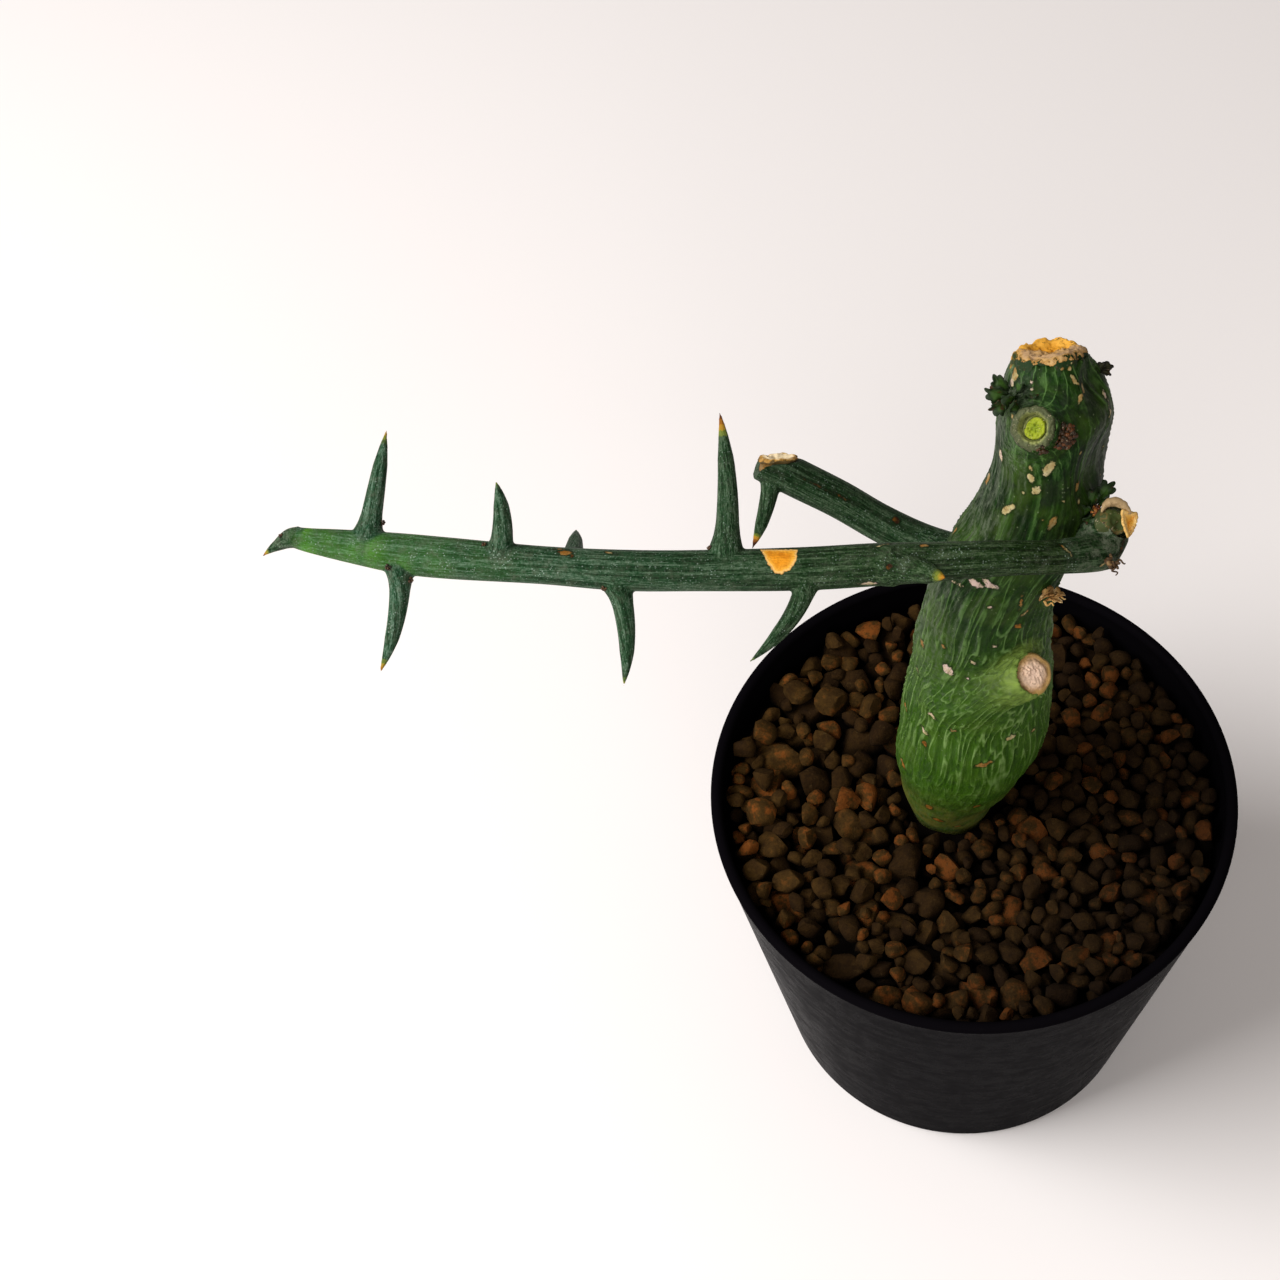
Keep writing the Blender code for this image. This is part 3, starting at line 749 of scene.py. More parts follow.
for number in mark_draw.choice(behind, HIDDEN_SCARS):
    size = mark_draw.uniform(0.25, 1.0)
    slim = size * mark_draw.uniform(0.4, 0.8)
    tone = mark_draw.uniform(0.05, 0.75)
    spot = trunk_scars.points[number], trunk_scars.normals[number]
    trunk_scars.oval(*spot, trunk_way[number], size, slim, tone, 0.12)
trunk_scars.keep()
print("scars on the trunk:", len(TRUNK_SCARS) + HIDDEN_SCARS)

# %% [markdown]
# The grain, the fields of the ridges and some shares are kept on the skin as well. Wax greys the
# upper trunk a little and dulls its foot, and a grey laid by the way each point faces is painted
# sheen on the sides and the back of the upper trunk. The green deepens towards the head, and from
# 120 mm up it is also darkened as painted shade under the long branch. The ridges fade towards the
# foot, and fresh bark round the low stump is yellow-green.

# %% Numbers that the trunk's finish reads
def end_of(rows, back=0.0):
    """The end of a limb, or a place some mm back from it, and the way that the limb points."""
    way = rows[-1, :3] - rows[-3, :3]
    way /= np.linalg.norm(way)
    return rows[-1, :3] - way * back * MM, way


trunk_points = points_of(trunk)
height = trunk_points[:, 2] / MM
low_stump_tip = smooth_rows(LOW_STUMP, ROW_STEP)[-1, :3]
low_stump_root = np.array(LOW_STUMP[1][:3]) * MM
stump_way = (low_stump_tip - low_stump_root) / np.linalg.norm(low_stump_tip - low_stump_root)
on_stump = (trunk_points - low_stump_root) @ stump_way
off_stump = np.linalg.norm(trunk_points - low_stump_root - on_stump[:, None] * stump_way, axis=1)
stump_near = np.clip(on_stump / MM / 9, 0, 1) * np.clip((5.6 - off_stump / MM) / 2.6, 0, 1)
# Painted sheen: by the way each point faces, the sides and the back of the upper trunk get a grey in the wax
# share.
facing_side = np.clip((np.abs(trunk_scars.normals[:, 0]) - 0.55) / 0.4, 0, 1)
facing_back = np.clip((trunk_scars.normals[:, 1] - 0.2) / 0.6, 0, 1)
dull_foot = 0.45 * np.clip((86 - height) / 14, 0, 1)
painted_sheen_side = np.maximum(facing_side, facing_back) * np.clip((height - 105) / 45, 0.15, 1)
keep_vector(trunk, "fibre", trunk_fibre / MM)
keep_values(trunk, swell=broad, fine_swell=fine, rib=rib, head=head, fresh=0.8 * stump_near)
# The shade share deepens the green towards the head; from 120 mm up it also paints the long branch's shade on
# the neck. The wax share is real wax plus the painted sheen at the sides.
keep_values(trunk, shade=np.clip((height - 120) / 26, 0, 1), wax=0.10 + 0.80 * painted_sheen_side + dull_foot)
keep_values(trunk, relief=np.clip((height - GRIT_HEIGHT) / 30, 0.35, 1) * (1 - 0.8 * stump_near))
print("wax up to", round(float(painted_sheen_side.max()), 2), "fresh points:", int((stump_near > 0).sum()))

# %% [markdown]
# The branches need the same kinds of numbers. Their scars are few: an orange wound where a thorn was
# torn off, some small corky spots and the dark axils of old leaves. The greens go from dark at the
# trunk to bluish and lighter at the tip, with bright bands of new bark near the end.

# %% Marks and numbers on the long branch
WOUND_CORNERS = ((760, 549.5), (798, 549.5), (796.5, 559), (791, 569), (782, 573.5), (774, 572.5), (768, 564))
LONG_BRANCH_SCARS = (
    (565, 553, 6, 3.4, 0, 0.7, 0.1),
    (924, 546, 4, 3, 0, 0.6, 0.1),
    (889, 567, 3.4, 3.4, 0, 1.0, -0.1),
    (559, 552, 2, 2, 0, 1.0, 0.0),
    (572, 556, 2, 1.6, 0, 1.0, 0.0),
    (1066, 549, 7, 1.0, -45, 0.35, 0.05),
    (1060, 545, 5, 1.2, -50, 1.0, -0.1),
    (868, 583, 9, 2.2, 5, 0.1, 0.1),
    (560, 549, 5, 1.2, 0, 0.6, 0.0),
    (1103, 564, 4, 1.8, 20, 0.35, 0.1),
    (1122, 546, 13, 1.4, 62, 1.0, 0.05),
    (882, 545, 7, 1.4, 5, 0.35, 0.0),
    (610, 553, 1.4, 4, 80, 0.5, 0.0),
)


class Branch:
    """A branch skin with the numbers that its finish reads."""

    def __init__(self, body, limbs, main_count):
        self.body = body
        self.points = points_of(body)
        grain = Grain(limbs)
        near, outside = grain.nearest(self.points)
        main, thorns = list(range(main_count)), list(range(main_count, len(limbs)))
        self.fibre = grain.blended(self.points, near, outside, 0.5 * MM, main)[1]
        self.thorn_fibre = grain.blended(self.points, near, outside, 0.3 * MM, thorns)[1]
        self.owner = outside.argmin(axis=1)
        self.on_thorn = outside[:, main].min(axis=1) - outside[:, thorns].min(axis=1)
        self.along = grain.along[near[np.arange(len(self.points)), self.owner]] / MM
        self.limb_length = np.array([lengths_along(rows)[-1] for rows in limbs]) / MM
        self.main_count = main_count

    def keep(self, dry, shade, fresh=0.0, wax=0.35, wound=-1.0):
        """Saves them. For each thorn, dry says how far its tip is dry in mm, and how much."""
        thorn = self.owner >= self.main_count
        left = self.limb_length[self.owner] - self.along
        dry_length = np.array([1.0] * self.main_count + [length for length, _ in dry])[self.owner]
        dry_share = np.array([0.0] * self.main_count + [share for _, share in dry])[self.owner]
        tip = np.where(thorn, np.clip(1 - left / dry_length, 0, 1) * dry_share, 0)
        keep_vector(self.body, "fibre", self.fibre / MM)
        keep_vector(self.body, "thorn_fibre", self.thorn_fibre / MM)
        keep_values(self.body, on_thorn=np.clip(self.on_thorn / MM + 0.5, 0, 1), tip=tip)
        keep_values(self.body, shade=shade, fresh=fresh, wax=wax, wound=wound)
        print(self.body.name, "points on thorns:", int(thorn.sum()), "tips:", int((tip > 0).sum()))


def band(values, middle, half):
    return np.exp(-(((values - middle) / half) ** 2))


long_skin = Branch(long_branch, long_limbs, 2)
long_scars = Scars(long_branch)
for row in LONG_BRANCH_SCARS:
    long_scars.seen(*row)
corners = np.array([seen_on(long_branch, u, v)[0] for u, v in WOUND_CORNERS])
middle = corners.mean(axis=0)
wound_normal = seen_on(long_branch, 779, 558)[1]
wound = np.full(len(long_skin.points), 9.0)
for here, there in zip(corners, np.roll(corners, -1, axis=0)):
    inward = np.cross(there - here, wound_normal)
    inward *= np.sign((middle - here) @ inward) / np.linalg.norm(inward)
    wound = np.minimum(wound, (long_skin.points - here) @ inward / MM)
wound[long_scars.normals @ wound_normal < 0.05] = -1
# Pixel of the middle, half width in mm and strength of each band of new bark.
FRESH_BANDS = (
    (306, 545, 2.0, 1.0),
    (330, 546, 4.0, 0.6),
    (368, 566, 7.0, 0.58),
    (400, 567, 7.0, 0.38),
    (444, 570, 8.0, 0.2),
)
x = long_skin.points[:, 0] / MM
fresh = np.zeros(len(x))
for u, v, half, strength in FRESH_BANDS:
    middle_x = seen_on(long_branch, u, v)[0][0] / MM
    fresh = np.maximum(fresh, strength * band(x, middle_x, half))
noise_patch = 0.5 + 0.5 * np.clip(Lattice(71, 3 * MM)(long_skin.points), -1, 1)
DRY_TIPS = (
    (2.6, 0.62), (1.4, 0.40), (4.4, 1.0), (2.0, 0.45), (0.6, 0.3),
    (1.4, 0.40), (2.8, 0.75), (2.6, 0.55), (2.0, 1.0),
)
# The elbow begins at 7 mm and the beak at -97.5 mm.
ELBOW_X, BEAK_X = 7, -97.5
elbow_wax = np.clip((x - ELBOW_X) / 4, 0, 1.7)
branch_shade = np.clip((8 - x) / 95, 0, 1) * np.where(x < BEAK_X, 0.4, 1)
branch_shade += np.clip((x - ELBOW_X) / 5, 0, 0.2) - 0.12 * band(x, -22, 14)
long_skin.keep(
    dry=DRY_TIPS,
    shade=branch_shade,
    fresh=np.clip(fresh * (0.4 + 0.8 * noise_patch), 0, 0.9),
    wax=0.42 + 0.25 * (noise_patch - 0.5) + 0.25 * (x < -60) + 0.3 * (x < BEAK_X) + elbow_wax,
    wound=np.clip(wound, -1, 2),
)
long_scars.keep()
print("scars on the long branch:", len(LONG_BRANCH_SCARS))

BACK_BRANCH_SCARS = (
    (896, 520, 4, 4, 0, 1.0, 0.05),
    (843, 498, 9, 1.2, -27, 1.0, -0.05),
    (820, 487, 14, 0.9, -27, 1.0, -0.05),
)
Branch(back_branch, back_limbs, 1).keep(dry=((2.8, 1.35),), shade=0.35)
back_scars = Scars(back_branch)
for row in BACK_BRANCH_SCARS:
    back_scars.seen(*row)
end_place, end_way = end_of(back_rows)
back_scars.oval(end_place + (0, 0, 1.6 * MM), end_way, np.array((0, 0, 1.0)), 2.0, 2.6, 0.6, 0.0)
back_scars.keep()

# %% [markdown]
# A finish is a Principled shader fed by a small graph. Writing each node out by hand hides what the
# graph does, so a helper gives the usual steps short names: noise, patches, ramps, mixes and bumps.

# %% Short names for the steps of a finish
class Finish:
    """A Principled material and short ways to add the nodes that feed it."""

    def __init__(self, name, roughness=0.6):
        self.material = bpy.data.materials.new(name)
        self.material.use_nodes = True
        self.tree = self.material.node_tree
        self.shader = self.tree.nodes["Principled BSDF"]
        self.place = self.node("TexCoord", {}).outputs["Object"]
        self.set(Roughness=roughness)

    def put(self, socket, value):
        if isinstance(value, bpy.types.NodeSocket):
            self.tree.links.new(value, socket)
        elif socket.type == "RGBA":
            socket.default_value = (*value, 1)
        else:
            socket.default_value = value

    def set(self, **values):
        """Shader sockets by name, with _ for a space."""
        for name, value in values.items():
            self.put(self.shader.inputs[name.replace("_", " ")], value)

    def node(self, kind, values, **settings):
        """A node with its settings, and its sockets filled by their name or number."""
        made = self.tree.nodes.new("ShaderNode" + kind)
        for name, value in settings.items():
            setattr(made, name, value)
        for socket, value in values.items():
            self.put(made.inputs[socket], value)
        return made

    def attribute(self, name, output="Fac"):
        return self.node("Attribute", {}, attribute_name=name).outputs[output]

    def stretched(self, where, factors):
        return self.node("VectorMath", {0: where, 1: factors}, operation="MULTIPLY").outputs[0]

    def noise(self, scale, detail=3.0, roughness=0.5, where=None, distortion=0.0):
        values = {"Vector": where or self.place, "Scale": scale, "Detail": detail}
        values.update(Roughness=roughness, Distortion=distortion)
        return self.node("TexNoise", values).outputs["Fac"]

    def cells(self, scale):
        values = {"Vector": self.place, "Scale": scale}
        return self.node("TexVoronoi", values).outputs["Distance"]

    def maths(self, operation, first, second=0.0):
        return self.node("Math", {0: first, 1: second}, operation=operation).outputs[0]

    def plus(self, first, second):
        return self.maths("ADD", first, second)

    def times(self, first, second):
        return self.maths("MULTIPLY", first, second)

    def range(self, value, low, high, new_low=0.0, new_high=1.0):
        """A smooth step from a low and a high value to two new ones."""
        values = dict(enumerate((value, low, high, new_low, new_high)))
        return self.node("MapRange", values, interpolation_type="SMOOTHSTEP").outputs[0]

    def patches(self, noise, *bounds):
        """The same of a noise that is given by its scale, detail and roughness."""
        return self.range(self.noise(*noise), *bounds)

    def axis_range(self, axis, low, high):
        """From 0 to 1 between two places along an axis, in metres."""
        return self.range(self.node("SeparateXYZ", {0: self.place}).outputs[axis], low, high)

    def ramp(self, value, stops):
        made = self.node("ValToRGB", {0: value})
        marks = made.color_ramp.elements
        while len(marks) < len(stops):
            marks.new(0.5)
        for mark, (position, colour) in zip(marks, stops):
            mark.position = position
            mark.color = (*colour, 1)
        return made.outputs[0]

    def mix(self, share, first, second):
        return self.node("Mix", {0: share, 6: first, 7: second}, data_type="RGBA").outputs[2]

    def blend(self, share, first, second):
        """A mix of plain numbers."""
        return self.node("Mix", {0: share, 2: first, 3: second}).outputs[0]

    def bump(self, height, distance, strength=1.0, under=None):
        values = {"Strength": strength, "Distance": distance, "Height": height}
        if under is not None:
            values["Normal"] = under
        return self.node("Bump", values).outputs[0]


def dress(body, finish):
    body.data.materials.clear()
    body.data.materials.append(finish.material)


# %% [markdown]
# Living bark is green under a thin pale wax. On the ridges the wax and the dead outer skin turn the
# green to grey; between them it stays deep. Old leaf scars are pale and corky. The graph starts from
# the field of the ridges kept on the skin, adds streaks that follow the fibres and fine specks, and
# last lays the scars over it, with a ragged edge from a little noise.

# %% Bark finish for the trunk
# Each stop is a place on the ramp and a colour.
SCAR_TONES = (
    (0.0, (0.58, 0.42, 0.36)),
    (0.25, (0.42, 0.36, 0.17)),
    (0.5, (0.28, 0.17, 0.055)),
    (0.75, (0.26, 0.10, 0.012)),
    (1.0, (0.03, 0.012, 0.005)),
)
# Between the ridges, on the bark and on the ridges, low on the trunk and at its head.
GREEN_STOPS = (0.0, 0.38, 0.95)
LOW_GREENS = ((0.011, 0.038, 0.0022), (0.036, 0.096, 0.0045), (0.150, 0.245, 0.070))
HIGH_GREENS = ((0.0015, 0.009, 0.0006), (0.005, 0.026, 0.0012), (0.065, 0.135, 0.034))
FRESH_GREEN = (0.24, 0.34, 0.065)
WAX_AND_SHEEN_GREY = (0.120, 0.145, 0.095)
HEAD_DARK_PATCH = (0.006, 0.012, 0.004)
EARTHY_SKIN = (0.20, 0.165, 0.030)
YELLOWED = (0.07, 0.13, 0.012)
WAX_SPECK = (0.20, 0.25, 0.13)
SCAR_PIT = (0.06, 0.055, 0.02)


def lay_scars(bark, colour, dark):
    """Scars over a bark colour: a dark edge, a ragged outline and pits."""
    ragged = bark.plus(bark.attribute("scar"), bark.patches((1700, 4), 0.2, 0.8, -0.16, 0.16))
    colour = bark.mix(bark.range(ragged, -0.38, -0.02, 0, 0.75), colour, dark)
    uneven = bark.plus(bark.attribute("tone"), bark.patches((1100, 3), 0.25, 0.75, -0.14, 0.14))
    tone = bark.ramp(uneven, SCAR_TONES)
    pitted = bark.mix(bark.patches((3000, 3), 0.52, 0.70, 0, 0.65), tone, SCAR_PIT)
    return bark.mix(bark.range(ragged, -0.04, 0.14), colour, pitted)


def ridge_share(bark, name, width):
    away = bark.maths("ABSOLUTE", bark.attribute(name))
    return bark.range(away, width, 0.0)


def trunk_finish():
    bark = Finish("trunk_bark", roughness=0.5)
    fibre = bark.attribute("fibre", "Vector")
    streak = bark.noise(1.5, 4, 0.6, bark.stretched(fibre, (1, 1, 0.06)), 0.3)
    wide_streak = bark.noise(0.5, 4, 0.6, bark.stretched(fibre, (1, 1, 0.10)), 0.4)
    fading = bark.patches((420, 3), 0.25, 0.6, 0.3, 1)
    broad = bark.times(ridge_share(bark, "swell", 0.55), fading)
    broad = bark.times(broad, bark.range(bark.attribute("head"), 0.9, 0.1, 0.15, 1))
    broad = bark.times(broad, bark.attribute("relief"))
    thin = bark.patches((300, 3), 0.4, 0.65, 0.1, 0.5)
    thin = bark.times(ridge_share(bark, "fine_swell", 0.4), thin)
    rib = bark.times(ridge_share(bark, "rib", 0.42), fading)
    rib = bark.times(rib, bark.axis_range("Z", 161 * MM, 174 * MM))
    lift = bark.maths("MAXIMUM", bark.maths("MAXIMUM", broad, thin), rib)
    streaks = bark.range(streak, 0.3, 0.7, -0.16, 0.16)
    level = bark.plus(bark.times(lift, 0.72), bark.plus(streaks, 0.22))
    soft = bark.range(wide_streak, 0.34, 0.66, -0.30, 0.34)
    level = bark.plus(level, bark.times(soft, bark.attribute("head")))
    greens = [bark.ramp(level, list(zip(GREEN_STOPS, three))) for three in (LOW_GREENS, HIGH_GREENS)]
    # The shade share blends to the deep head greens, which also paints the long branch's shade on the neck.
    colour = bark.mix(bark.attribute("shade"), *greens)
    patch = bark.patches((150, 4, 0.6), 0.42, 0.66, 0, 0.55)
    colour = bark.mix(patch, colour, bark.mix(0.5, colour, YELLOWED))
    fresh = bark.times(bark.attribute("fresh"), bark.range(streak, 0.35, 0.65, 0.45, 1.1))
    colour = bark.mix(fresh, colour, FRESH_GREEN)
    # Random dark patches on the head.
    dark_patch = bark.patches((230, 4, 0.65), 0.48, 0.66, 0, 0.8)
    dusty = bark.noise(1.6, 6, 0.8, bark.stretched(fibre, (1, 1, 0.25)))
    colour = bark.mix(bark.times(dark_patch, bark.attribute("head")), colour, HEAD_DARK_PATCH)
    # The wax share greys the bark: real wax, and painted sheen on the sides and the back of the upper trunk.
    wax = bark.times(bark.attribute("wax"), bark.range(dusty, 0.40, 0.68, 0, 0.9))
    colour = bark.mix(wax, colour, WAX_AND_SHEEN_GREY)
    crowd = bark.patches((600, 2), 0.52, 0.6)
    speck = bark.times(bark.range(bark.cells(1300), 0.22, 0.10), crowd)
    colour = bark.mix(bark.times(speck, 0.4), colour, WAX_SPECK)
    earthy = bark.patches((320, 4, 0.6), 0.35, 0.65, 0.12, 0.6)
    earthy = bark.times(earthy, bark.axis_range("Z", 92 * MM, 74 * MM))
    colour = bark.mix(earthy, colour, EARTHY_SKIN)
    colour = lay_scars(bark, colour, (0.008, 0.018, 0.003))
    low = bark.bump(streak, 0.10 * MM, 0.7)
    bark.set(Base_Color=colour, Normal=bark.bump(bark.noise(4200, 4), 0.035 * MM, 0.6, low))
    bark.set(Roughness=bark.patches((1300, 2), 0.3, 0.7, 0.40, 0.60))
    bark.set(Specular_IOR_Level=0.06)
    return bark


trunk_bark = trunk_finish()
dress(trunk, trunk_bark)

# %% [markdown]
# The branches are smoother than the trunk. Their bark is bluish green, with eight or nine fine lines
# along each side and a dust of pale wax dots. The tips of the thorns dry out from green through
# yellow and orange to brown.

# %% Bark finish for the branches
LINE_STOPS = (0.0, 0.42, 0.95)
ROOT_GREENS = ((0.004, 0.010, 0.001), (0.010, 0.027, 0.0035), (0.065, 0.10, 0.040))
TIP_GREENS = ((0.007, 0.028, 0.010), (0.022, 0.074, 0.033), (0.14, 0.22, 0.155))
TIP_STOPS = (
    (0.0, (0.05, 0.11, 0.02)),
    (0.26, (0.24, 0.28, 0.03)),
    (0.48, (0.44, 0.20, 0.02)),
    (0.70, (0.20, 0.065, 0.012)),
    (0.95, (0.035, 0.013, 0.008)),
)
WOUND_STOPS = (
    (0.0, (0.60, 0.30, 0.08)),
    (0.15, (0.86, 0.52, 0.17)),
    (0.35, (0.92, 0.44, 0.05)),
    (1.0, (0.88, 0.34, 0.02)),
)
BRANCH_FRESH = (0.085, 0.26, 0.016)
BRANCH_WAX = (0.115, 0.135, 0.088)
WAX_DOT = (0.26, 0.34, 0.27)
DEEP_WOUND = (0.62, 0.19, 0.008)


def branch_finish():
    bark = Finish("branch_bark", roughness=0.5)
    levels = []
    for name in ("fibre", "thorn_fibre"):
        fibre = bark.attribute(name, "Vector")
        line = bark.noise(2.3, 3, 0.6, bark.stretched(fibre, (1, 1, 0.03)), 0.1)
        hair = bark.noise(7.5, 2, 0.5, bark.stretched(fibre, (1, 1, 0.10)))
        hairs = bark.range(hair, 0.3, 0.7, -0.22, 0.22)
        levels.append(bark.plus(bark.range(line, 0.36, 0.60, 0.08, 0.62), hairs))
    level = bark.blend(bark.attribute("on_thorn"), *levels)
    level = bark.plus(level, bark.patches((3000, 2, 0.6), 0.3, 0.7, -0.16, 0.16))
    greens = [bark.ramp(level, list(zip(LINE_STOPS, three))) for three in (ROOT_GREENS, TIP_GREENS)]
    colour = bark.mix(bark.attribute("shade"), *greens)
    fresh = bark.times(bark.attribute("fresh"), bark.range(bark.attribute("on_thorn"), 0.6, 0.0))
    colour = bark.mix(fresh, colour, BRANCH_FRESH)
    cloud = bark.patches((650, 5, 0.8), 0.42, 0.72, 0, 0.75)
    colour = bark.mix(bark.times(bark.attribute("wax"), cloud), colour, BRANCH_WAX)
    dots = bark.range(bark.cells(2300), 0.30, 0.12)
    crowd = bark.patches((420, 4, 0.7), 0.42, 0.62, 0.18, 1.44)
    calm = bark.times(bark.attribute("wax"), bark.range(bark.attribute("wax"), 1.15, 0.75))
    dots = bark.times(dots, bark.times(crowd, calm))
    colour = bark.mix(dots, colour, WAX_DOT)
    tip = bark.attribute("tip")
    colour = bark.mix(bark.range(tip, 0.0, 0.45), colour, bark.ramp(tip, TIP_STOPS))
    colour = lay_scars(bark, colour, (0.006, 0.014, 0.004))
    wound = bark.plus(bark.attribute("wound"), bark.patches((1500, 3), 0.2, 0.8, -0.12, 0.12))
    blotch = bark.patches((700, 4), 0.35, 0.7, 0, 0.8)
    deep = bark.times(bark.range(wound, 0.35, 0.7), blotch)
    flesh = bark.mix(deep, bark.ramp(wound, WOUND_STOPS), DEEP_WOUND)
    colour = bark.mix(bark.range(wound, -0.06, 0.05), colour, flesh)
    low = bark.bump(level, 0.16 * MM, 0.8)
    bark.set(Base_Color=colour, Normal=bark.bump(bark.noise(5200, 3), 0.03 * MM, 0.6, low))
    bark.set(Roughness=bark.patches((1500, 2), 0.3, 0.7, 0.42, 0.60))
    bark.set(Specular_IOR_Level=0.05)
    return bark


branch_bark = branch_finish()
dress(long_branch, branch_bark)
dress(back_branch, branch_bark)

# %% [markdown]
# The pot is a thin shell moulded in one shot: a tapering wall, a rounded bead at the rim, a small
# radius at the foot and eight drain holes in the floor. It is a turned shape, so its section is
# drawn once, as a line of points, and spun round the axis.

# %% The pot's section
POT_HEIGHT = 78 * MM
POT_RIM_RADIUS = 45 * MM
POT_TAPER = 0.137
POT_WALL = 1.4 * MM
POT_FLOOR = 1.8 * MM
POT_FOOT_ROUNDING = 1.2 * MM
RIM_BEAD_RADIUS = 1.0 * MM
POT_STEPS = 160
POT_CORNER = 2 * MM  # the rounding inside, between wall and floor


def wall_radius(height):
    return POT_RIM_RADIUS - POT_TAPER * (POT_HEIGHT - height)


def arc(centre, radius, start, end, steps):
    turns = np.radians(np.linspace(start, end, steps + 1))
    return [(centre[0] + radius * math.cos(a), centre[1] + radius * math.sin(a)) for a in turns]


def pot_section():
    """Radius and height from the middle of the inside floor, over the rim, to the underside's middle."""
    inner = wall_radius(POT_FLOOR) - POT_WALL
    bead_height = POT_HEIGHT - RIM_BEAD_RADIUS
    bead_centre = (POT_RIM_RADIUS - RIM_BEAD_RADIUS, bead_height)
    under_bead = bead_height - 1.5 * RIM_BEAD_RADIUS
    corner = arc((inner - POT_CORNER, POT_FLOOR + POT_CORNER), POT_CORNER, -90, 0, 5)
    inside = [(0, POT_FLOOR), *corner, (wall_radius(under_bead) - POT_WALL, under_bead)]
    bead = arc(bead_centre, RIM_BEAD_RADIUS, 190, -20, 14)
    base = wall_radius(POT_FOOT_ROUNDING)
    foot = arc((base - POT_FOOT_ROUNDING, POT_FOOT_ROUNDING), POT_FOOT_ROUNDING, 0, -90, 5)
    return inside + bead + [(wall_radius(under_bead), under_bead), *foot, (0, 0)]


# %% The section spun into a shell
deselect_all()
section = pot_section()
bpy.ops.mesh.primitive_circle_add(vertices=3, radius=MM)
pot = bpy.context.object
pot.name = pot.data.name = "round_pot"
bpy.ops.object.mode_set(mode="EDIT")
bpy.ops.mesh.select_all(action="SELECT")
bpy.ops.mesh.merge(type="CENTER")
bpy.ops.transform.translate(value=(section[0][0], 0, section[0][1]))
for (radius, height), (next_radius, next_height) in zip(section, section[1:]):
    step = (next_radius - radius, 0, next_height - height)
    bpy.ops.mesh.extrude_region_move(TRANSFORM_OT_translate={"value": step})
bpy.ops.mesh.select_all(action="SELECT")
bpy.ops.mesh.spin(steps=POT_STEPS, angle=math.tau, center=(0, 0, 0), axis=(0, 0, 1))
turn_out(merge=0.01 * MM)
print("pot:", [round(d / MM, 2) for d in pot.dimensions], "faces:", len(pot.data.polygons))

# %% Drain holes
DRAIN_HOLES = 8
DRAIN_HOLE_RADIUS = 2.4 * MM
DRAIN_CIRCLE_RADIUS = 19 * MM
deselect_all()
for index in range(DRAIN_HOLES):
    angle = math.tau * (index + 0.5) / DRAIN_HOLES
    middle = Vector((math.cos(angle), math.sin(angle), 0)) * DRAIN_CIRCLE_RADIUS
    bpy.ops.mesh.primitive_cylinder_add(
        vertices=24, radius=DRAIN_HOLE_RADIUS, depth=4 * POT_FLOOR, location=middle
    )
    drill = bpy.context.object
    cut = pot.modifiers.new("drain", "BOOLEAN")
    cut.operation = "DIFFERENCE"
    cut.object = drill
    bpy.context.view_layer.objects.active = pot
    bpy.ops.object.modifier_apply(modifier=cut.name)
    bpy.data.objects.remove(drill)
deselect_all()
pot.select_set(True)
bpy.context.view_layer.objects.active = pot
bpy.ops.object.shade_smooth_by_angle(angle=math.radians(40))
print("pot faces after the holes:", len(pot.data.polygons))

# %% [markdown]
# Black moulded plastic is satin. Dust and fine scratches break its weak shine, and the dust is a
# little paler than the plastic.

# %% Pot finish
PLASTIC_BLACK = (0.0028, 0.0023, 0.0031)
PLASTIC_DUST = (0.0060, 0.0050, 0.0060)
plastic = Finish("pot_plastic", roughness=0.3)
dust = plastic.noise(260, 5, 0.7)
scratch = plastic.noise(40, 2, 0.5, plastic.stretched(plastic.place, (1, 1, 26)))
dusty = plastic.range(dust, 0.55, 0.8, 0, 0.4)
plastic.set(Base_Color=plastic.mix(dusty, PLASTIC_BLACK, PLASTIC_DUST))
wear = plastic.plus(dust, plastic.times(scratch, 0.4))
plastic.set(Roughness=plastic.range(wear, 0.5, 0.95, 0.24, 0.36), Specular_IOR_Level=0.0008)
plastic.set(Normal=plastic.bump(plastic.noise(1200, 2), 0.006 * MM, 0.06))
dress(pot, plastic)

# %% [markdown]
# The grit is fired-clay gravel: rounded but angular grains from 2 to 8 mm across. About nine
# hundred real stones lie on top, and under them the rest of the bed is one heap, painted dark as the
# shade between the stones. The heap is a disc that is drawn up inside the pot, inset ring by ring,
# and roughened on top.

# %% The bed under the stones
STONE_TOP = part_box("potting_grit")[1].z
BED_TOP = STONE_TOP - 7.5 * MM
BED_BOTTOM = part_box("potting_grit")[0].z
BED_SIDES = 96
BED_ROUGHNESS = 0.5 * MM
SHELL_GAP = 0.35 * MM
FOOT_CHAMFER = 2.2 * MM
BED_RINGS = 12


def bed_radius(height):
    return wall_radius(height) - POT_WALL - SHELL_GAP


deselect_all()
radius, height = bed_radius(BED_BOTTOM) - FOOT_CHAMFER, BED_BOTTOM
bpy.ops.mesh.primitive_circle_add(
    vertices=BED_SIDES, radius=radius, fill_type="NGON", location=(0, 0, BED_BOTTOM)
)
bed = bpy.context.object
bed.name = bed.data.name = "grit_bed"
bpy.ops.object.mode_set(mode="EDIT")
bpy.ops.mesh.select_all(action="SELECT")
for next_height in (BED_BOTTOM + FOOT_CHAMFER, BED_TOP):
    lift = (0, 0, next_height - height)
    bpy.ops.mesh.extrude_region_move(TRANSFORM_OT_translate={"value": lift})
    grow = bed_radius(next_height) / radius
    bpy.ops.transform.resize(value=(grow, grow, 1))
    radius, height = bed_radius(next_height), next_height
for _ in range(BED_RINGS):
    bpy.ops.mesh.inset(thickness=radius / (BED_RINGS + 1))
turn_out()
bpy.ops.object.transform_apply(location=True, rotation=False, scale=False)
bed_points = points_of(bed)
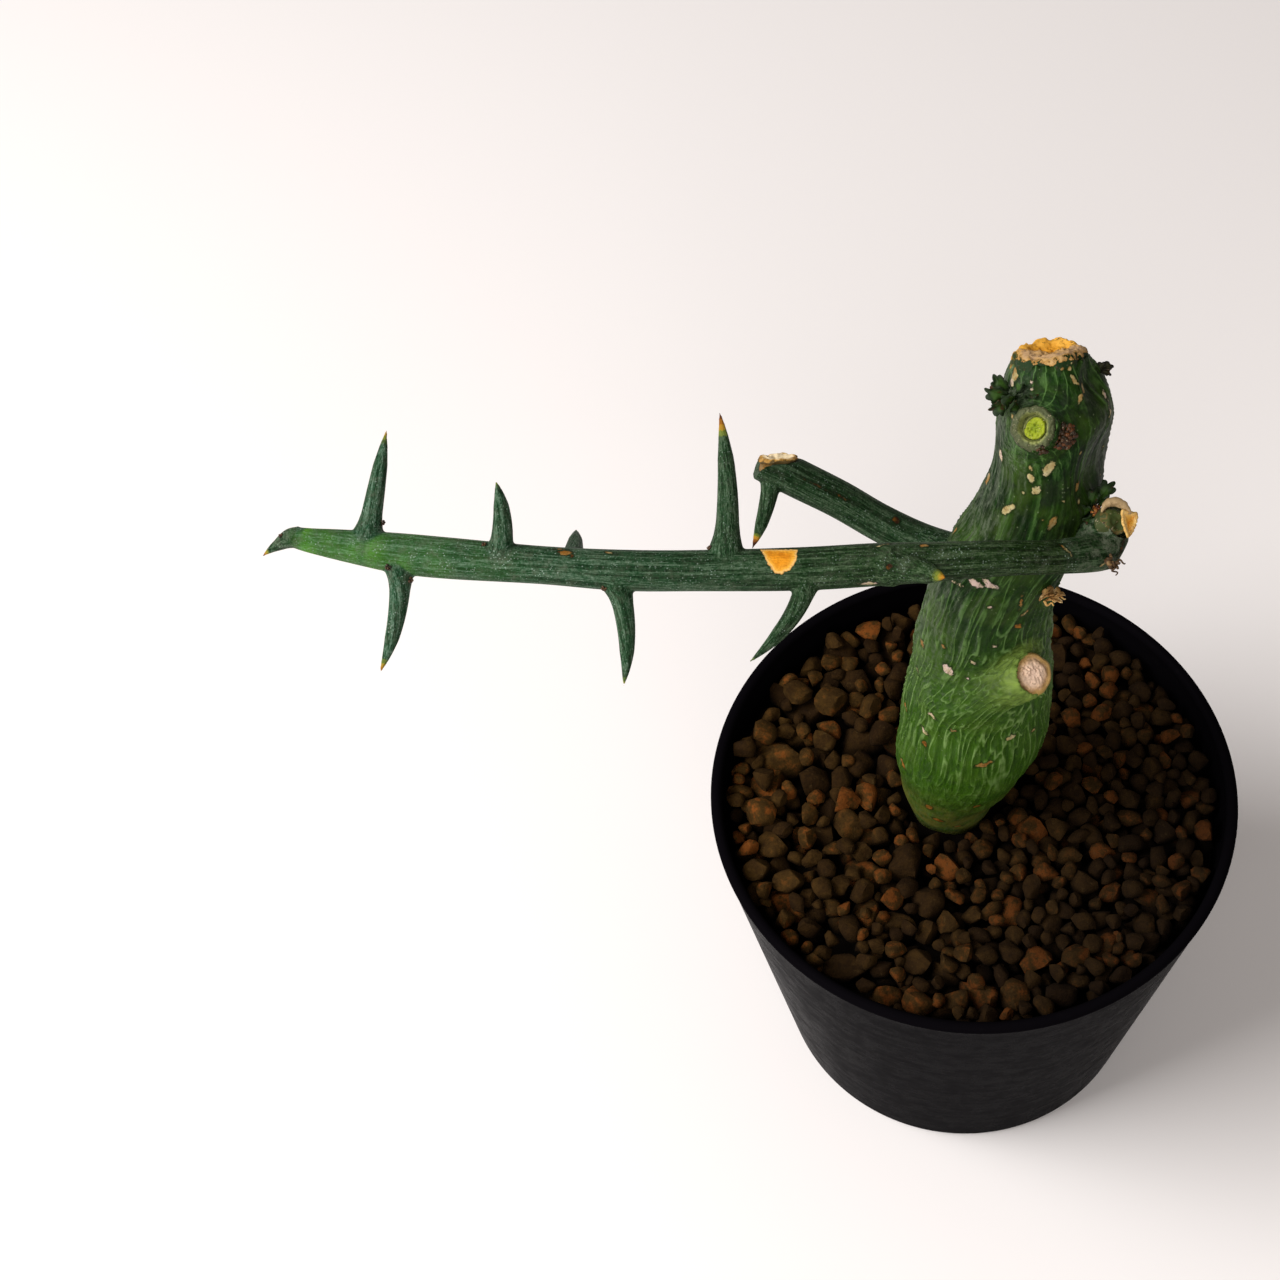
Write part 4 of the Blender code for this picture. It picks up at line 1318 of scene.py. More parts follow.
on_top = bed_points[:, 2] > BED_TOP - 0.1 * MM
bed_points[on_top, 2] += BED_ROUGHNESS * Lattice(31, 3 * MM)(bed_points[on_top])
move_points(bed, bed_points)
print("bed faces:", len(bed.data.polygons), "top in mm:", round(BED_TOP / MM, 1))

# %% [markdown]
# A stone starts as an icosphere. Its points are pushed in and out a little, and some flat sides are
# pressed into it, which gives the blunt corners of broken clay. Six shapes for the small stones and
# three finer ones for the large are enough, because each copy gets its own size, stretch and turn.

# %% Shapes of stone
SMALL_SHAPES = 6
LARGE_SHAPES = 3
FLAT_SIDES = 10
stone_draw = np.random.default_rng(21)


def stone_shape(index, subdivisions):
    deselect_all()
    bpy.ops.mesh.primitive_ico_sphere_add(subdivisions=subdivisions, radius=1)
    shape = bpy.context.object
    shape.name = f"stone_shape_{index}"
    points = points_of(shape)
    points *= 1 + 0.10 * Lattice(40 + index, 0.8)(points)[:, None]
    for _ in range(FLAT_SIDES):
        way = stone_draw.normal(size=3)
        way /= np.linalg.norm(way)
        beyond = np.clip(points @ way - stone_draw.uniform(0.5, 0.82), 0, None)
        points -= 0.93 * beyond[:, None] * way
    move_points(shape, points / np.abs(points).max())
    return shape


small_shapes = [stone_shape(index, 2) for index in range(SMALL_SHAPES)]
large_shapes = [stone_shape(index + SMALL_SHAPES, 3) for index in range(LARGE_SHAPES)]
print("faces of a stone:", [len(shapes[0].data.polygons) for shapes in (small_shapes, large_shapes)])

# %% [markdown]
# To heap the stones as they would fall, each one is offered a few places, finds how high the stones
# already there would hold it, and takes the lowest. Large stones lie mostly at the left, small ones
# at the right and the front. The trunk and the wall keep them off.

# %% Dropping the stones
STONE_COUNT = 1500
STONE_OFFERS = 12
STONE_REFUSALS = 500
LARGE_STONE = 2.9 * MM
TRUNK_AT_GRIT = Vector((-2.9, 3.0)) * MM
TRUNK_KEEP_OUT = 8.2 * MM
HEAP_RISE = 3.0 * MM
HEAP_DIP = 2.2 * MM
SMALLEST_STONE = 1.25
TOUCHING = 0.80  # how far apart two stones rest, as a share of both radii, because they are angular


def off_trunk(x, y):
    return math.hypot(x - TRUNK_AT_GRIT.x, y - TRUNK_AT_GRIT.y)


def heap_top(x, y):
    """The height that the stones may reach: higher at the back left, lower round the trunk."""
    rise = HEAP_RISE * min(1, max(0, (y - x) / (55 * MM) - 0.1))
    dip = HEAP_DIP * min(1, max(0, (17 * MM - off_trunk(x, y)) / (8 * MM)))
    return STONE_TOP + rise - dip


def stone_radius(x, y, coarse):
    """A coarse stone may be larger at the left and at the back."""
    leftness = min(1, max(0, 0.35 - x / (45 * MM) + max(0, y) / (90 * MM)))
    return (SMALLEST_STONE + coarse * (1.2 + 1.9 * leftness)) * MM


def drop_stones():
    """Middles and radii of stones that lie on the bed and on each other."""
    wall = bed_radius(BED_TOP + 4 * MM)
    middles = np.empty((0, 3))
    radii = np.empty(0)
    refusals = 0
    while len(radii) < STONE_COUNT and refusals < STONE_REFUSALS:
        coarse = stone_draw.random() ** 1.5
        offers = []
        for _ in range(STONE_OFFERS):
            reach = wall * math.sqrt(stone_draw.random())
            turn = stone_draw.uniform(0, math.tau)
            x, y = reach * math.cos(turn), reach * math.sin(turn)
            radius = stone_radius(x, y, coarse)
            if reach + 0.93 * radius > wall or off_trunk(x, y) < TRUNK_KEEP_OUT + 0.7 * radius:
                continue
            height = BED_TOP + 0.5 * radius
            if len(radii):
                apart = np.hypot(middles[:, 0] - x, middles[:, 1] - y)
                touch = TOUCHING * (radii + radius)
                under = apart < touch
                if under.any():
                    held = middles[under, 2] + np.sqrt(touch[under] ** 2 - apart[under] ** 2)
                    height = max(height, held.max())
            offers.append((height, x, y, radius))
        if offers:
            height, x, y, radius = min(offers)
            if height + radius < heap_top(x, y):
                middles = np.vstack([middles, (x, y, height)])
                radii = np.append(radii, radius)
            else:
                refusals += 1
    return middles, radii


stone_middles, stone_radii = drop_stones()
stone_tops = stone_middles[:, 2] + stone_radii
print("stones:", len(stone_radii), "large:", int((stone_radii > LARGE_STONE).sum()))
print("the heap reaches", round(float(stone_tops.max()) / MM, 1), "mm, the bed", round(BED_TOP / MM, 1))


# %% Stones copied to their places
STRETCH = (0.82, 1.18)
STONE_GROWTH = 1.08  # closes the gaps that the pressed flat sides leave


def copied(name, shape):
    """A copy of a shape with its own mesh."""
    copy = bpy.data.objects.new(name, shape.data.copy())
    bpy.context.collection.objects.link(copy)
    return copy


def copy_stones(name, shapes, chosen):
    copies = []
    for number in chosen:
        copy = copied(f"stone_{number}", shapes[int(stone_draw.integers(len(shapes)))])
        angle = stone_draw.uniform(0, math.tau)
        turn = Matrix.Rotation(angle, 3, Vector(stone_draw.normal(size=3)).normalized())
        stretch = np.diag(stone_draw.uniform(*STRETCH, 3))
        points = points_of(copy) @ stretch @ np.array(turn).T
        middle = stone_middles[number]
        move_points(copy, STONE_GROWTH * points * stone_radii[number] + middle)
        # Painted shade: stones towards the right and the front are darker, as the light falls off there.
        dim = 0.5 + 0.5 * (middle[0] - 0.75 * middle[1]) / wall_radius(BED_TOP)
        keep_values(copy, tone=stone_draw.random(), dim=min(1, max(0, dim)))
        copies.append(copy)
    made = joined(name, copies)
    bpy.ops.object.shade_smooth_by_angle(angle=math.radians(50))
    print(name, "faces:", len(made.data.polygons))
    return made


large_ones = np.flatnonzero(stone_radii > LARGE_STONE)
small_ones = np.flatnonzero(stone_radii <= LARGE_STONE)
large_stones = copy_stones("large_stones", large_shapes, large_ones)
small_stones = copy_stones("small_stones", small_shapes, small_ones)
for shape in small_shapes + large_shapes:
    bpy.data.objects.remove(shape)

# %% [markdown]
# Fired clay is matt and porous. Most stones are dark or olive brown, some are orange where they
# broke fresh. One number saved on each stone picks its colour, and noise adds pits and dust. Painted
# shade darkens the stones deep in the heap and towards the right and the front.

# %% Stone finish
STONE_COLOURS = (
    (0.0, (0.022, 0.010, 0.0025)),
    (0.4, (0.038, 0.018, 0.004)),
    (0.75, (0.058, 0.029, 0.006)),
    (0.93, (0.110, 0.042, 0.008)),
    (1.0, (0.18, 0.054, 0.009)),
)
CLAY_PIT = (0.010, 0.005, 0.002)
CLAY_DUST = (0.14, 0.085, 0.028)
CLAY_SHADE = (0.004, 0.002, 0.001)
PAINTED_GAP_SHADE = (0.0015, 0.0008, 0.0004)


def stone_finish(name):
    """Clay with painted shade: darker deep in the heap between the stones, and towards the right and the
    front by a value saved on each stone.
    """
    clay = Finish(name, roughness=0.92)
    mottle = clay.patches((520, 5, 0.65), 0.3, 0.7, -0.27, 0.27)
    tone = clay.plus(clay.attribute("tone"), mottle)
    colour = clay.ramp(tone, STONE_COLOURS)
    colour = clay.mix(clay.patches((1400, 4, 0.7), 0.45, 0.75, 0, 0.5), colour, CLAY_PIT)
    pale = clay.patches((800, 5, 0.7), 0.58, 0.75, 0, 0.4)
    colour = clay.mix(pale, colour, CLAY_DUST)
    # Painted shade in the gaps: stones low in the heap, and the bed, go nearly black.
    clear_of_gap_shade = clay.axis_range("Z", STONE_TOP - 6.8 * MM, STONE_TOP - 2.0 * MM)
    colour = clay.mix(clay.times(clear_of_gap_shade, 0.96), PAINTED_GAP_SHADE, colour)
    # Painted shade towards the right and the front, by the value saved on each stone.
    colour = clay.mix(clay.times(clay.attribute("dim"), 0.72), colour, CLAY_SHADE)
    clay.set(Base_Color=colour)
    pits = clay.bump(clay.cells(1700), 0.12 * MM, 0.35)
    rough = clay.bump(clay.noise(1100, 5, 0.7), 0.35 * MM, 0.7, pits)
    clay.set(Normal=rough, Specular_IOR_Level=0.08)
    return clay


stone_clay = stone_finish("fired_clay")
# The bed under the stones is wholly in the painted shade.
keep_values(bed, dim=1)
for body in (large_stones, small_stones, bed):
    dress(body, stone_clay)

# %% [markdown]
# Five limbs end in a cut or a break. A fresh cut dries to a rim of dead bark round a sunken middle:
# the top is ragged, tan and golden, the stump in front has a grey granular ring round a lime-green
# pith, and the low stump has healed with a pinkish callus. By hand such a face starts as a filled
# circle, extruded down so that it sits in the limb, and inset again and again. The rings are then
# lifted by a profile and roughened.

# %% A round face of rings, set on the end of a limb
def ringed_disc(name, sides, radius, rings, walls=0, wall=0.0):
    """A disc, drawn up by some short walls and inset to its middle. It is left in edit mode."""
    deselect_all()
    bpy.ops.mesh.primitive_circle_add(vertices=sides, radius=radius, fill_type="NGON")
    body = bpy.context.object
    body.name = body.data.name = name
    bpy.ops.object.mode_set(mode="EDIT")
    for _ in range(walls):
        bpy.ops.mesh.extrude_region_move(TRANSFORM_OT_translate={"value": (0, 0, wall)})
    for _ in range(rings - 1):
        bpy.ops.mesh.inset(thickness=radius / rings)
    bpy.ops.mesh.poke()
    return body


def square_to(way, near):
    """A way made one long, and the part of a second way that is square to it."""
    way, near = Vector(way).normalized(), Vector(near)
    return way, (near - way * near.dot(way)).normalized()


def stand(body, place, x_way, y_way, z_way):
    """Turns a mesh's own axes along three ways and moves it to its place."""
    turn = Matrix((x_way, y_way, z_way)).transposed().to_4x4()
    body.data.transform(Matrix.Translation(Vector(place)) @ turn)


class Face:
    """A short plug with a ringed top, its shape set in its own frame before it is put in place."""

    SIDES = 128

    def __init__(self, name, radius, depth, rings, walls=5):
        self.radius = radius * MM
        self.body = ringed_disc(name, self.SIDES, self.radius, rings, walls, depth * MM / walls)
        turn_out()
        bpy.ops.object.shade_smooth()
        self.points = points_of(self.body)
        self.points[:, 2] -= depth * MM
        self.share = np.hypot(self.points[:, 0], self.points[:, 1]) / self.radius
        self.down = np.clip(-self.points[:, 2] / (depth * MM), 0, 1)
        self.angle = np.arctan2(self.points[:, 1], self.points[:, 0])
        self.shade = self.share + self.down

    def lift(self, profile):
        """Heights in mm by the share of the radius; the walls follow the rim."""
        shares, heights = zip(*profile)
        rise = np.interp(self.share, shares, heights) * (1 - self.down)
        self.points[:, 2] += rise * MM

    def roughen(self, seed, cell, amount, low=0.0, high=2.0):
        """Random lumps in mm, only between two shares of the radius, fading down the wall."""
        inside = (self.share >= low) & (self.share <= high)
        lumps = Lattice(seed, cell * MM)(self.points) * amount * MM * (1 - self.down)
        self.points[inside, 2] += lumps[inside]

    def widen(self, seed, cell, amount, foot=0.0):
        """The outline wanders in and out by a share of the radius, and the foot widens by another."""
        rim = np.stack([np.cos(self.angle), np.sin(self.angle), 0 * self.angle], 1) * self.radius
        wave = 1 + amount * Lattice(seed, cell * MM)(rim) * np.clip(self.share, 0, 1)
        self.points[:, :2] *= (wave * (1 + foot * self.down))[:, None]

    def shape(self, profile, lumps, wave):
        """The usual steps: a profile, rows of lumps and a wandering outline."""
        self.lift(profile)
        for row in lumps:
            self.roughen(*row)
        self.widen(*wave)

    def set_down(self, centre, axis, right, finish):
        """Moves the plug to its place: its +Z along the axis and its +X near the way given."""
        keep_values(self.body, ring=self.shade, side=self.points[:, 1] / self.radius)
        move_points(self.body, self.points)
        axis, right = square_to(axis, right)
        stand(self.body, centre, right, axis.cross(right), axis)
        dress(self.body, finish)
        return self.body


SINK_EDGE = 0.12  # how soft the edge is, as a share of the radius
SINK_REACH = 4


def sink(body, rows, radius, depth):
    """Presses the round end of a limb flat, so that it doesn't show through the face on it."""
    centre, way = end_of(rows)
    points = points_of(body)
    offset = (points - centre) / MM
    along = offset @ way
    aside = np.linalg.norm(offset - along[:, None] * way, axis=1)
    share = np.clip((radius - aside) / (SINK_EDGE * radius), 0, 1)
    share *= (along > -depth) * (along < SINK_REACH)
    move_points(body, points - way * (share * (along + depth) * MM)[:, None])


WOOD_PITS = (0.06, 0.03, 0.01)
WOOD_PALE = (0.80, 0.62, 0.42)


def face_finish(name, stops, back_stops=None, wander=0.16, grain=(1500, 0.5), dark=WOOD_PITS, bright=0.5):
    """Dry cut wood: a ramp from the middle to the rim, an uneven edge, dark pits and pale grain."""
    made = Finish(name, roughness=0.7)
    uneven = made.patches((900, 4, 0.6), 0.2, 0.8, -wander, wander)
    ring = made.plus(made.attribute("ring"), uneven)
    colour = made.ramp(ring, stops)
    if back_stops:
        side = made.plus(made.attribute("side"), made.patches((600, 3), 0.2, 0.8, -0.25, 0.25))
        colour = made.mix(made.range(side, -0.15, 0.35), colour, made.ramp(ring, back_stops))
    pits = made.patches((grain[0], 4, 0.7), 0.56, 0.70, 0, grain[1])
    colour = made.mix(pits, colour, dark)
    pale = made.patches((1.6 * grain[0], 3, 0.7), 0.58, 0.75, 0, bright)
    colour = made.mix(pale, colour, WOOD_PALE)
    made.set(Base_Color=colour, Normal=made.bump(made.noise(grain[0], 4, 0.65), 0.12 * MM, 0.8))
    made.set(Specular_IOR_Level=0.25)
    return made


# %% The dried top of the trunk
TOP_FRONT = (
    (0.0, (0.50, 0.24, 0.04)),
    (0.5, (0.46, 0.27, 0.10)),
    (0.8, (0.50, 0.31, 0.16)),
    (0.92, (0.50, 0.30, 0.11)),
    (1.0, (0.34, 0.16, 0.025)),
    (1.08, (0.05, 0.06, 0.008)),
    (1.2, (0.006, 0.025, 0.002)),
)
TOP_BACK = (
    (0.0, (0.52, 0.20, 0.012)),
    (0.5, (0.72, 0.32, 0.02)),
    (0.85, (0.78, 0.40, 0.05)),
    (1.0, (0.66, 0.32, 0.035)),
)
TOP_PROFILE = ((0, -0.15), (0.45, -0.05), (0.7, 0.2), (0.88, 0.25), (0.96, 0.0), (1, -0.4))
CUP_DEPTH = 0.9 * MM
FAR_RIM_RISE = 0.6 * MM
NOTCH_DEPTH = 0.35 * MM
top = Face("top_cut", 5.15, 3.2, rings=36, walls=9)
top.lift(TOP_PROFILE)
cup = np.hypot(top.points[:, 0] / top.radius - 0.1, 1.3 * (top.points[:, 1] / top.radius - 0.28))
top.points[:, 2] -= CUP_DEPTH * np.clip(1 - cup / 0.6, 0, 1) ** 0.6 * (1 - top.down)
far_rim = np.clip(top.share - 0.6, 0, 0.3) / 0.3 * np.exp(-(((top.angle - 1.15) / 0.8) ** 2))
top.points[:, 2] += FAR_RIM_RISE * far_rim * (1 - top.down)
notches = np.maximum(Lattice(31, 1.3 * MM)(top.points * (1, 1, 0)), 0)
top.points[:, 2] -= NOTCH_DEPTH * notches * (top.share > 0.8) * (1 - top.down)
top.roughen(32, 0.38, 0.13)
top.roughen(33, 1.5, 0.22)
top.widen(34, 1.2, 0.04, 0.10)
sink(trunk, trunk_rows, 5.2, 2.2)
centre, way = end_of(trunk_rows, -0.35)
print("the trunk ends at", np.round(centre / MM, 1), "pointing", np.round(way, 2))
# The cut leans back and a little to the right.
toward, right = np.array(PHOTO_NEAR), np.array(PHOTO_RIGHT)
way = way - 0.14 * toward + 0.08 * right
TOP_PITS = (0.05, 0.020, 0.006)
top_wood = face_finish("top_cut_wood", TOP_FRONT, TOP_BACK, 0.16, (2300, 0.95), TOP_PITS, 0.15)
top_cut = top.set_down(centre, way, (1, 0, 0), top_wood)

# %% The stump in front
FRONT_STOPS = (
    (0.0, (0.14, 0.20, 0.006)),
    (0.22, (0.25, 0.31, 0.010)),
    (0.44, (0.29, 0.34, 0.012)),
    (0.52, (0.05, 0.06, 0.010)),
    (0.58, (0.26, 0.28, 0.085)),
    (0.70, (0.085, 0.097, 0.038)),
    (1.0, (0.058, 0.067, 0.028)),
    (1.3, (0.02, 0.04, 0.01)),
)
FRONT_PROFILE = (
    (0, -0.35), (0.3, -0.2), (0.46, -0.1), (0.52, -0.7), (0.6, 0.3), (0.72, 0.5), (0.9, 0.25), (1, -0.4),
)
CRACK_DEPTH = 0.5 * MM
front = Face("front_stump_cut", 3.25, 2.0, rings=30)
front.shape(FRONT_PROFILE, ((35, 0.26, 0.11), (36, 0.8, 0.12, 0.55)), (37, 1.0, 0.04, -0.05))
# A crack pressed into the ring at the top left; its ring colour is pushed darker as well, which is painted
# shade in the crack.
crack = np.clip(np.cos(front.angle - 2.3), 0, 1) ** 2 * (front.share > 0.34) * (front.share < 0.6)
front.shade += 0.17 * crack * (front.share < 0.5)
front.points[:, 2] -= CRACK_DEPTH * crack
sink(trunk, trunk_limbs[1], 3.0, 1.5)
centre, way = end_of(trunk_limbs[1])
FRONT_PITS = (0.012, 0.016, 0.006)
front_wood = face_finish("front_stump_wood", FRONT_STOPS, None, 0.05, (2300, 0.85), FRONT_PITS)
front_stump_cut = front.set_down(centre, way, (1, 0, 0), front_wood)

# %% The healed low stump
LOW_STOPS = (
    (0.0, (0.80, 0.56, 0.42)),
    (0.50, (0.78, 0.54, 0.38)),
    (0.66, (0.64, 0.40, 0.22)),
    (0.78, (0.46, 0.27, 0.095)),
    (1.0, (0.32, 0.20, 0.042)),
    (1.4, (0.16, 0.20, 0.03)),
)
LOW_PROFILE = ((0, 0.35), (0.3, 0.55), (0.6, 0.45), (0.72, 0.1), (0.8, 0.1), (0.9, 0.2), (1, -0.25))
low = Face("low_stump_cut", 3.25, 2.2, rings=30)
low.shape(LOW_PROFILE, ((41, 0.28, 0.09, 0.0, 0.7), (42, 0.9, 0.08)), (43, 1.2, 0.03, -0.02))
sink(trunk, trunk_limbs[2], 2.8, 1.5)
centre, way = end_of(trunk_limbs[2])
callus = face_finish("callus", LOW_STOPS, wander=0.07)
low_stump_cut = low.set_down(centre, way + 1.3 * toward, (1, 0, 0), callus)

# %% [markdown]
# The branch begins at an elbow, where a side twig was torn off. The break slants down across the
# elbow, so the round end of the limb is pressed flat there. What is left of the twig is a low green
# dome under a collar of tan callus, with a golden flap of torn wood that opens to the right.

# %% The elbow and its torn twig
BREAK_LINE = ((1128, 537), (1117, 558))
break_top, break_foot = [beside(u, v, long_rows[0, :3]) for u, v in BREAK_LINE]


def press(body, place, normal, soft, reach):
    """Presses the part of a skin beyond a plane back to it, with a soft edge."""
    points = points_of(body)
    offset = (points - np.array(place)) / MM
    beyond = offset @ np.array(normal)
    near = (beyond > -soft) & (np.linalg.norm(offset, axis=1) < reach)
    kept = -soft * np.exp(-(beyond + soft) / soft)
    points[near] -= ((beyond - kept)[near] * MM)[:, None] * np.array(normal)
    move_points(body, points)


break_normal = (break_foot - break_top).cross(PHOTO_RIGHT.cross(PHOTO_UP)).normalized()
break_normal *= 1 if break_normal.dot(photo_way(-30, 0)) > 0 else -1
press(long_branch, (break_top + break_foot) / 2, break_normal, 0.5, 7)

TWIG_STOPS = (
    (0.0, (0.042, 0.055, 0.008)),
    (0.6, (0.030, 0.048, 0.008)),
    (0.86, (0.050, 0.062, 0.012)),
    (0.94, (0.12, 0.08, 0.02)),
    (1.04, (0.045, 0.060, 0.016)),
)
TWIG_PROFILE = ((0, 1.35), (0.45, 1.15), (0.8, 0.65), (0.93, 0.15), (1, -0.3))
torn = Face("torn_twig", 2.3, 1.6, rings=24)
torn.shape(TWIG_PROFILE, ((45, 0.5, 0.14), (46, 1.4, 0.35)), (47, 1.6, 0.05))
sink(long_branch, twig_rows, 2.5, 1.5)
centre, way = end_of(twig_rows)
torn_wood = face_finish("torn_wood", TWIG_STOPS, grain=(1300, 0.4))
torn_middle = centre - 0.7 * MM * right + 0.25 * MM * np.array(PHOTO_UP)
torn_twig = torn.set_down(torn_middle, way, (0, 0, 1), torn_wood)

# Pixels of the flap's outline, clockwise from its top left.
FLAP = (
    (1121, 511), (1125, 510), (1129, 511.5), (1133, 511.5), (1138.5, 512.5), (1138.5, 518), (1137.5, 523),
    (1135.5, 528), (1132.5, 532), (1130, 535), (1127.5, 538), (1125.5, 533), (1123.5, 527), (1121.5, 519),
)


def thicken(body, thickness):
    """Gives a sheet a thickness in mm, half to each side."""
    skin = body.modifiers.new("thickness", "SOLIDIFY")
    skin.thickness = thickness * MM
    skin.offset = 0
    bpy.ops.object.modifier_apply(modifier=skin.name)
    bpy.ops.object.shade_smooth()


def plate(name, outline, place, lean, hollow, thickness, seed, finish):
    """A torn plate through pixels of its outline, leaning away to the right and cupped."""
    body = ringed_disc(name, 96, 1, 12)
    bpy.ops.object.mode_set(mode="OBJECT")
    right, up, near = (np.array(way) for way in (PHOTO_RIGHT, PHOTO_UP, PHOTO_NEAR))
    edge = np.array([beside(u, v, place) for u, v in outline])
    middle = edge.mean(axis=0)
    edge_right, edge_up = (edge - middle) @ right, (edge - middle) @ up
    turns = np.arctan2(edge_up, edge_right)
    order = np.argsort(turns)
    points = points_of(body)
    share = np.hypot(points[:, 0], points[:, 1])
    angle = np.arctan2(points[:, 1], points[:, 0])
    reach = share * np.interp(angle, turns[order], np.hypot(edge_right, edge_up)[order], period=math.tau)
    reach *= 1 + 0.05 * share * Lattice(seed, 0.7)(points * 3)
    x, y = reach * np.cos(angle), reach * np.sin(angle)
    depth = -lean * x - hollow * MM * (1 - share**2) + 0.16 * MM * Lattice(seed + 1, 0.25)(points)
    move_points(body, middle + x[:, None] * right + y[:, None] * up + depth[:, None] * near)
    keep_values(body, ring=share, side=0)
    thicken(body, thickness)
    dress(body, finish)
    return body


FLAP_STOPS = (
    (0.0, (0.80, 0.38, 0.04)),
    (0.5, (0.92, 0.50, 0.08)),
    (0.82, (0.95, 0.66, 0.24)),
    (1.0, (0.62, 0.36, 0.10)),
)
flap_wood = face_finish("flap_wood", FLAP_STOPS, wander=0.1, grain=(1400, 0.3))
flap_place = Vector(centre) + PHOTO_NEAR * 0.9 * MM
torn_flap = plate("torn_flap", FLAP, flap_place, 0.7, 0.9, 0.35, 61, flap_wood)

# Pixel and half thickness in mm along the collar.
COLLAR = (
    (1101.5, 512, 0.15), (1104, 507, 0.40), (1108, 503, 0.60), (1113, 501.5, 0.65), (1119, 503, 0.65),
    (1124, 506, 0.6), (1127.5, 510, 0.45), (1129, 514, 0.25),
)
collar_rows = np.array([(*beside(u, v, centre, 1.0), half * MM) for u, v, half in COLLAR])
collar = limb("collar", smooth_rows(collar_rows / MM, 0.25 * MM), 5)
bumpy = points_of(collar)
move_points(collar, bumpy + normals_of(collar) * (0.09 * MM * Lattice(63, 0.4 * MM)(bumpy))[:, None])
collar.data.shade_smooth()
keep_values(collar, ring=0.8, side=0)
CALLUS_STOPS = ((0.0, (0.28, 0.18, 0.08)), (1.0, (0.44, 0.30, 0.15)))
dress(collar, face_finish("collar_callus", CALLUS_STOPS, grain=(1500, 0.4)))

# %% [markdown]
# The back branch was cut on a slant, so its end is a long face that looks up. The round end of the
# limb is pressed flat along that plane. The pale, ragged wood is one more face of rings, set on it
# and made a little oval, with a golden edge.

# %% The slanting cut at the end of the back branch
# Pixels of the two ends of the cut edge; the face looks up and a little towards the viewer.
BACK_CUT = ((755, 462), (801, 459))
BACK_STOPS = (
    (0.0, (0.95, 0.78, 0.50)),
    (0.72, (0.94, 0.76, 0.48)),
    (0.88, (0.50, 0.27, 0.06)),
    (1.0, (0.24, 0.12, 0.02)),
    (1.3, (0.10, 0.06, 0.015)),
)
cut_left, cut_right = [beside(u, v, back_rows[-3, :3]) for u, v in BACK_CUT]
cut_middle = (cut_left + cut_right) / 2
cut_way = photo_way(94, 0.32)
press(back_branch, cut_middle, cut_way, 0.25, 6.5)
BACK_PROFILE = ((0, -0.1), (0.6, 0.0), (0.85, 0.2), (1, -0.15))
BACK_OVAL = 0.88
back = Face("back_branch_cut", 3.1, 1.0, rings=26)
back.shape(BACK_PROFILE, ((51, 0.45, 0.07), (52, 1.8, 0.20)), (53, 1.4, 0.05, -0.25))
back.points[:, 1] *= BACK_OVAL
back_wood = face_finish("back_cut_wood", BACK_STOPS, grain=(1500, 0.35))
back_branch_cut = back.set_down(cut_middle + 0.4 * MM * cut_way, cut_way, PHOTO_RIGHT, back_wood)
CUT_PIECES = (top_cut, front_stump_cut, low_stump_cut, torn_twig, torn_flap, collar, back_branch_cut)
print("faces of the cut pieces:", [len(body.data.polygons) for body in CUT_PIECES])

# %% [markdown]
# Small things sit where leaves and shoots leave the stem: tufts of crumpled young leaves, granular
# red-brown buds and a few dried, curled leaves. A leaf starts as a filled circle with rings, like
# the cut faces. It is drawn out to a leaf, its rim is scalloped, and it is folded, crumpled and
# given a thickness. Its foot is set at a pixel of the photograph, at the depth of the skin there.

# %% A crumpled leaf
LEAF_SIDES = 56
LEAF_RINGS = 9
LEAF_THICKNESS = 0.16


def leaf(start, way, face, length, width, teeth, scallop, fold, seed):
    """A small leaf from its foot along a way, its upper side towards the face direction."""
    body = ringed_disc("leaf", LEAF_SIDES, 0.5, LEAF_RINGS)
    bpy.ops.object.mode_set(mode="OBJECT")
    points = points_of(body)
    share = np.hypot(points[:, 0], points[:, 1]) * 2
    angle = np.arctan2(points[:, 1], points[:, 0])
    lobes = 1 + scallop * share**3 * (2 * np.abs(np.cos(teeth * angle / 2)) - 1)
    along = (1 + share * np.cos(angle) * lobes) / 2
    aside = share * np.sin(angle) * lobes / 2 * np.clip(0.35 + 1.3 * along, 0, 1.15)
    shape = np.stack([along * length, aside * width, np.abs(aside) * width * fold], 1) * MM
    crumple = Lattice(seed, 0.28 * width * MM)(shape) * 0.10 * width
    droop = 0.14 * length * np.sin(along * math.pi * 0.9)
    shape[:, 2] += (crumple * share + droop) * MM
    move_points(body, shape)
    keep_values(body, ring=share)
    thicken(body, LEAF_THICKNESS)
    way, face = square_to(way, face)
    stand(body, start, way, face.cross(way), face)
    return body


def together(name, bodies, finish):
    """Several parts made one piece."""
    piece = joined(name, bodies)
    dress(piece, finish)
    return piece


def leaves(table, foot, turned, scallop, fold, seed):
    """A leaf for each row: foot gives its start, turned its upper side's share to the viewer."""
    made = []
    for index, (u, v, slant, near, *sizes) in enumerate(table):
        way, face = photo_way(slant, near), photo_way(slant + 90, turned(near))
        made.append(leaf(foot(u, v), way, face, *sizes, scallop, fold, seed + index))
    return made


# %% Young leaf tufts
def leaf_finish(name, middle, rim, dry):
    made = Finish(name, roughness=0.55)
    ring = made.plus(made.attribute("ring"), made.patches((1300, 3), 0.2, 0.8, -0.25, 0.25))
    colour = made.mix(made.range(ring, 0.25, 0.9), middle, rim)
    colour = made.mix(made.patches((800, 3), 0.55, 0.68), colour, dry)
    made.set(Base_Color=colour, Normal=made.bump(made.noise(1500, 3), 0.1 * MM, 0.7), Specular_IOR_Level=0.2)
    return made


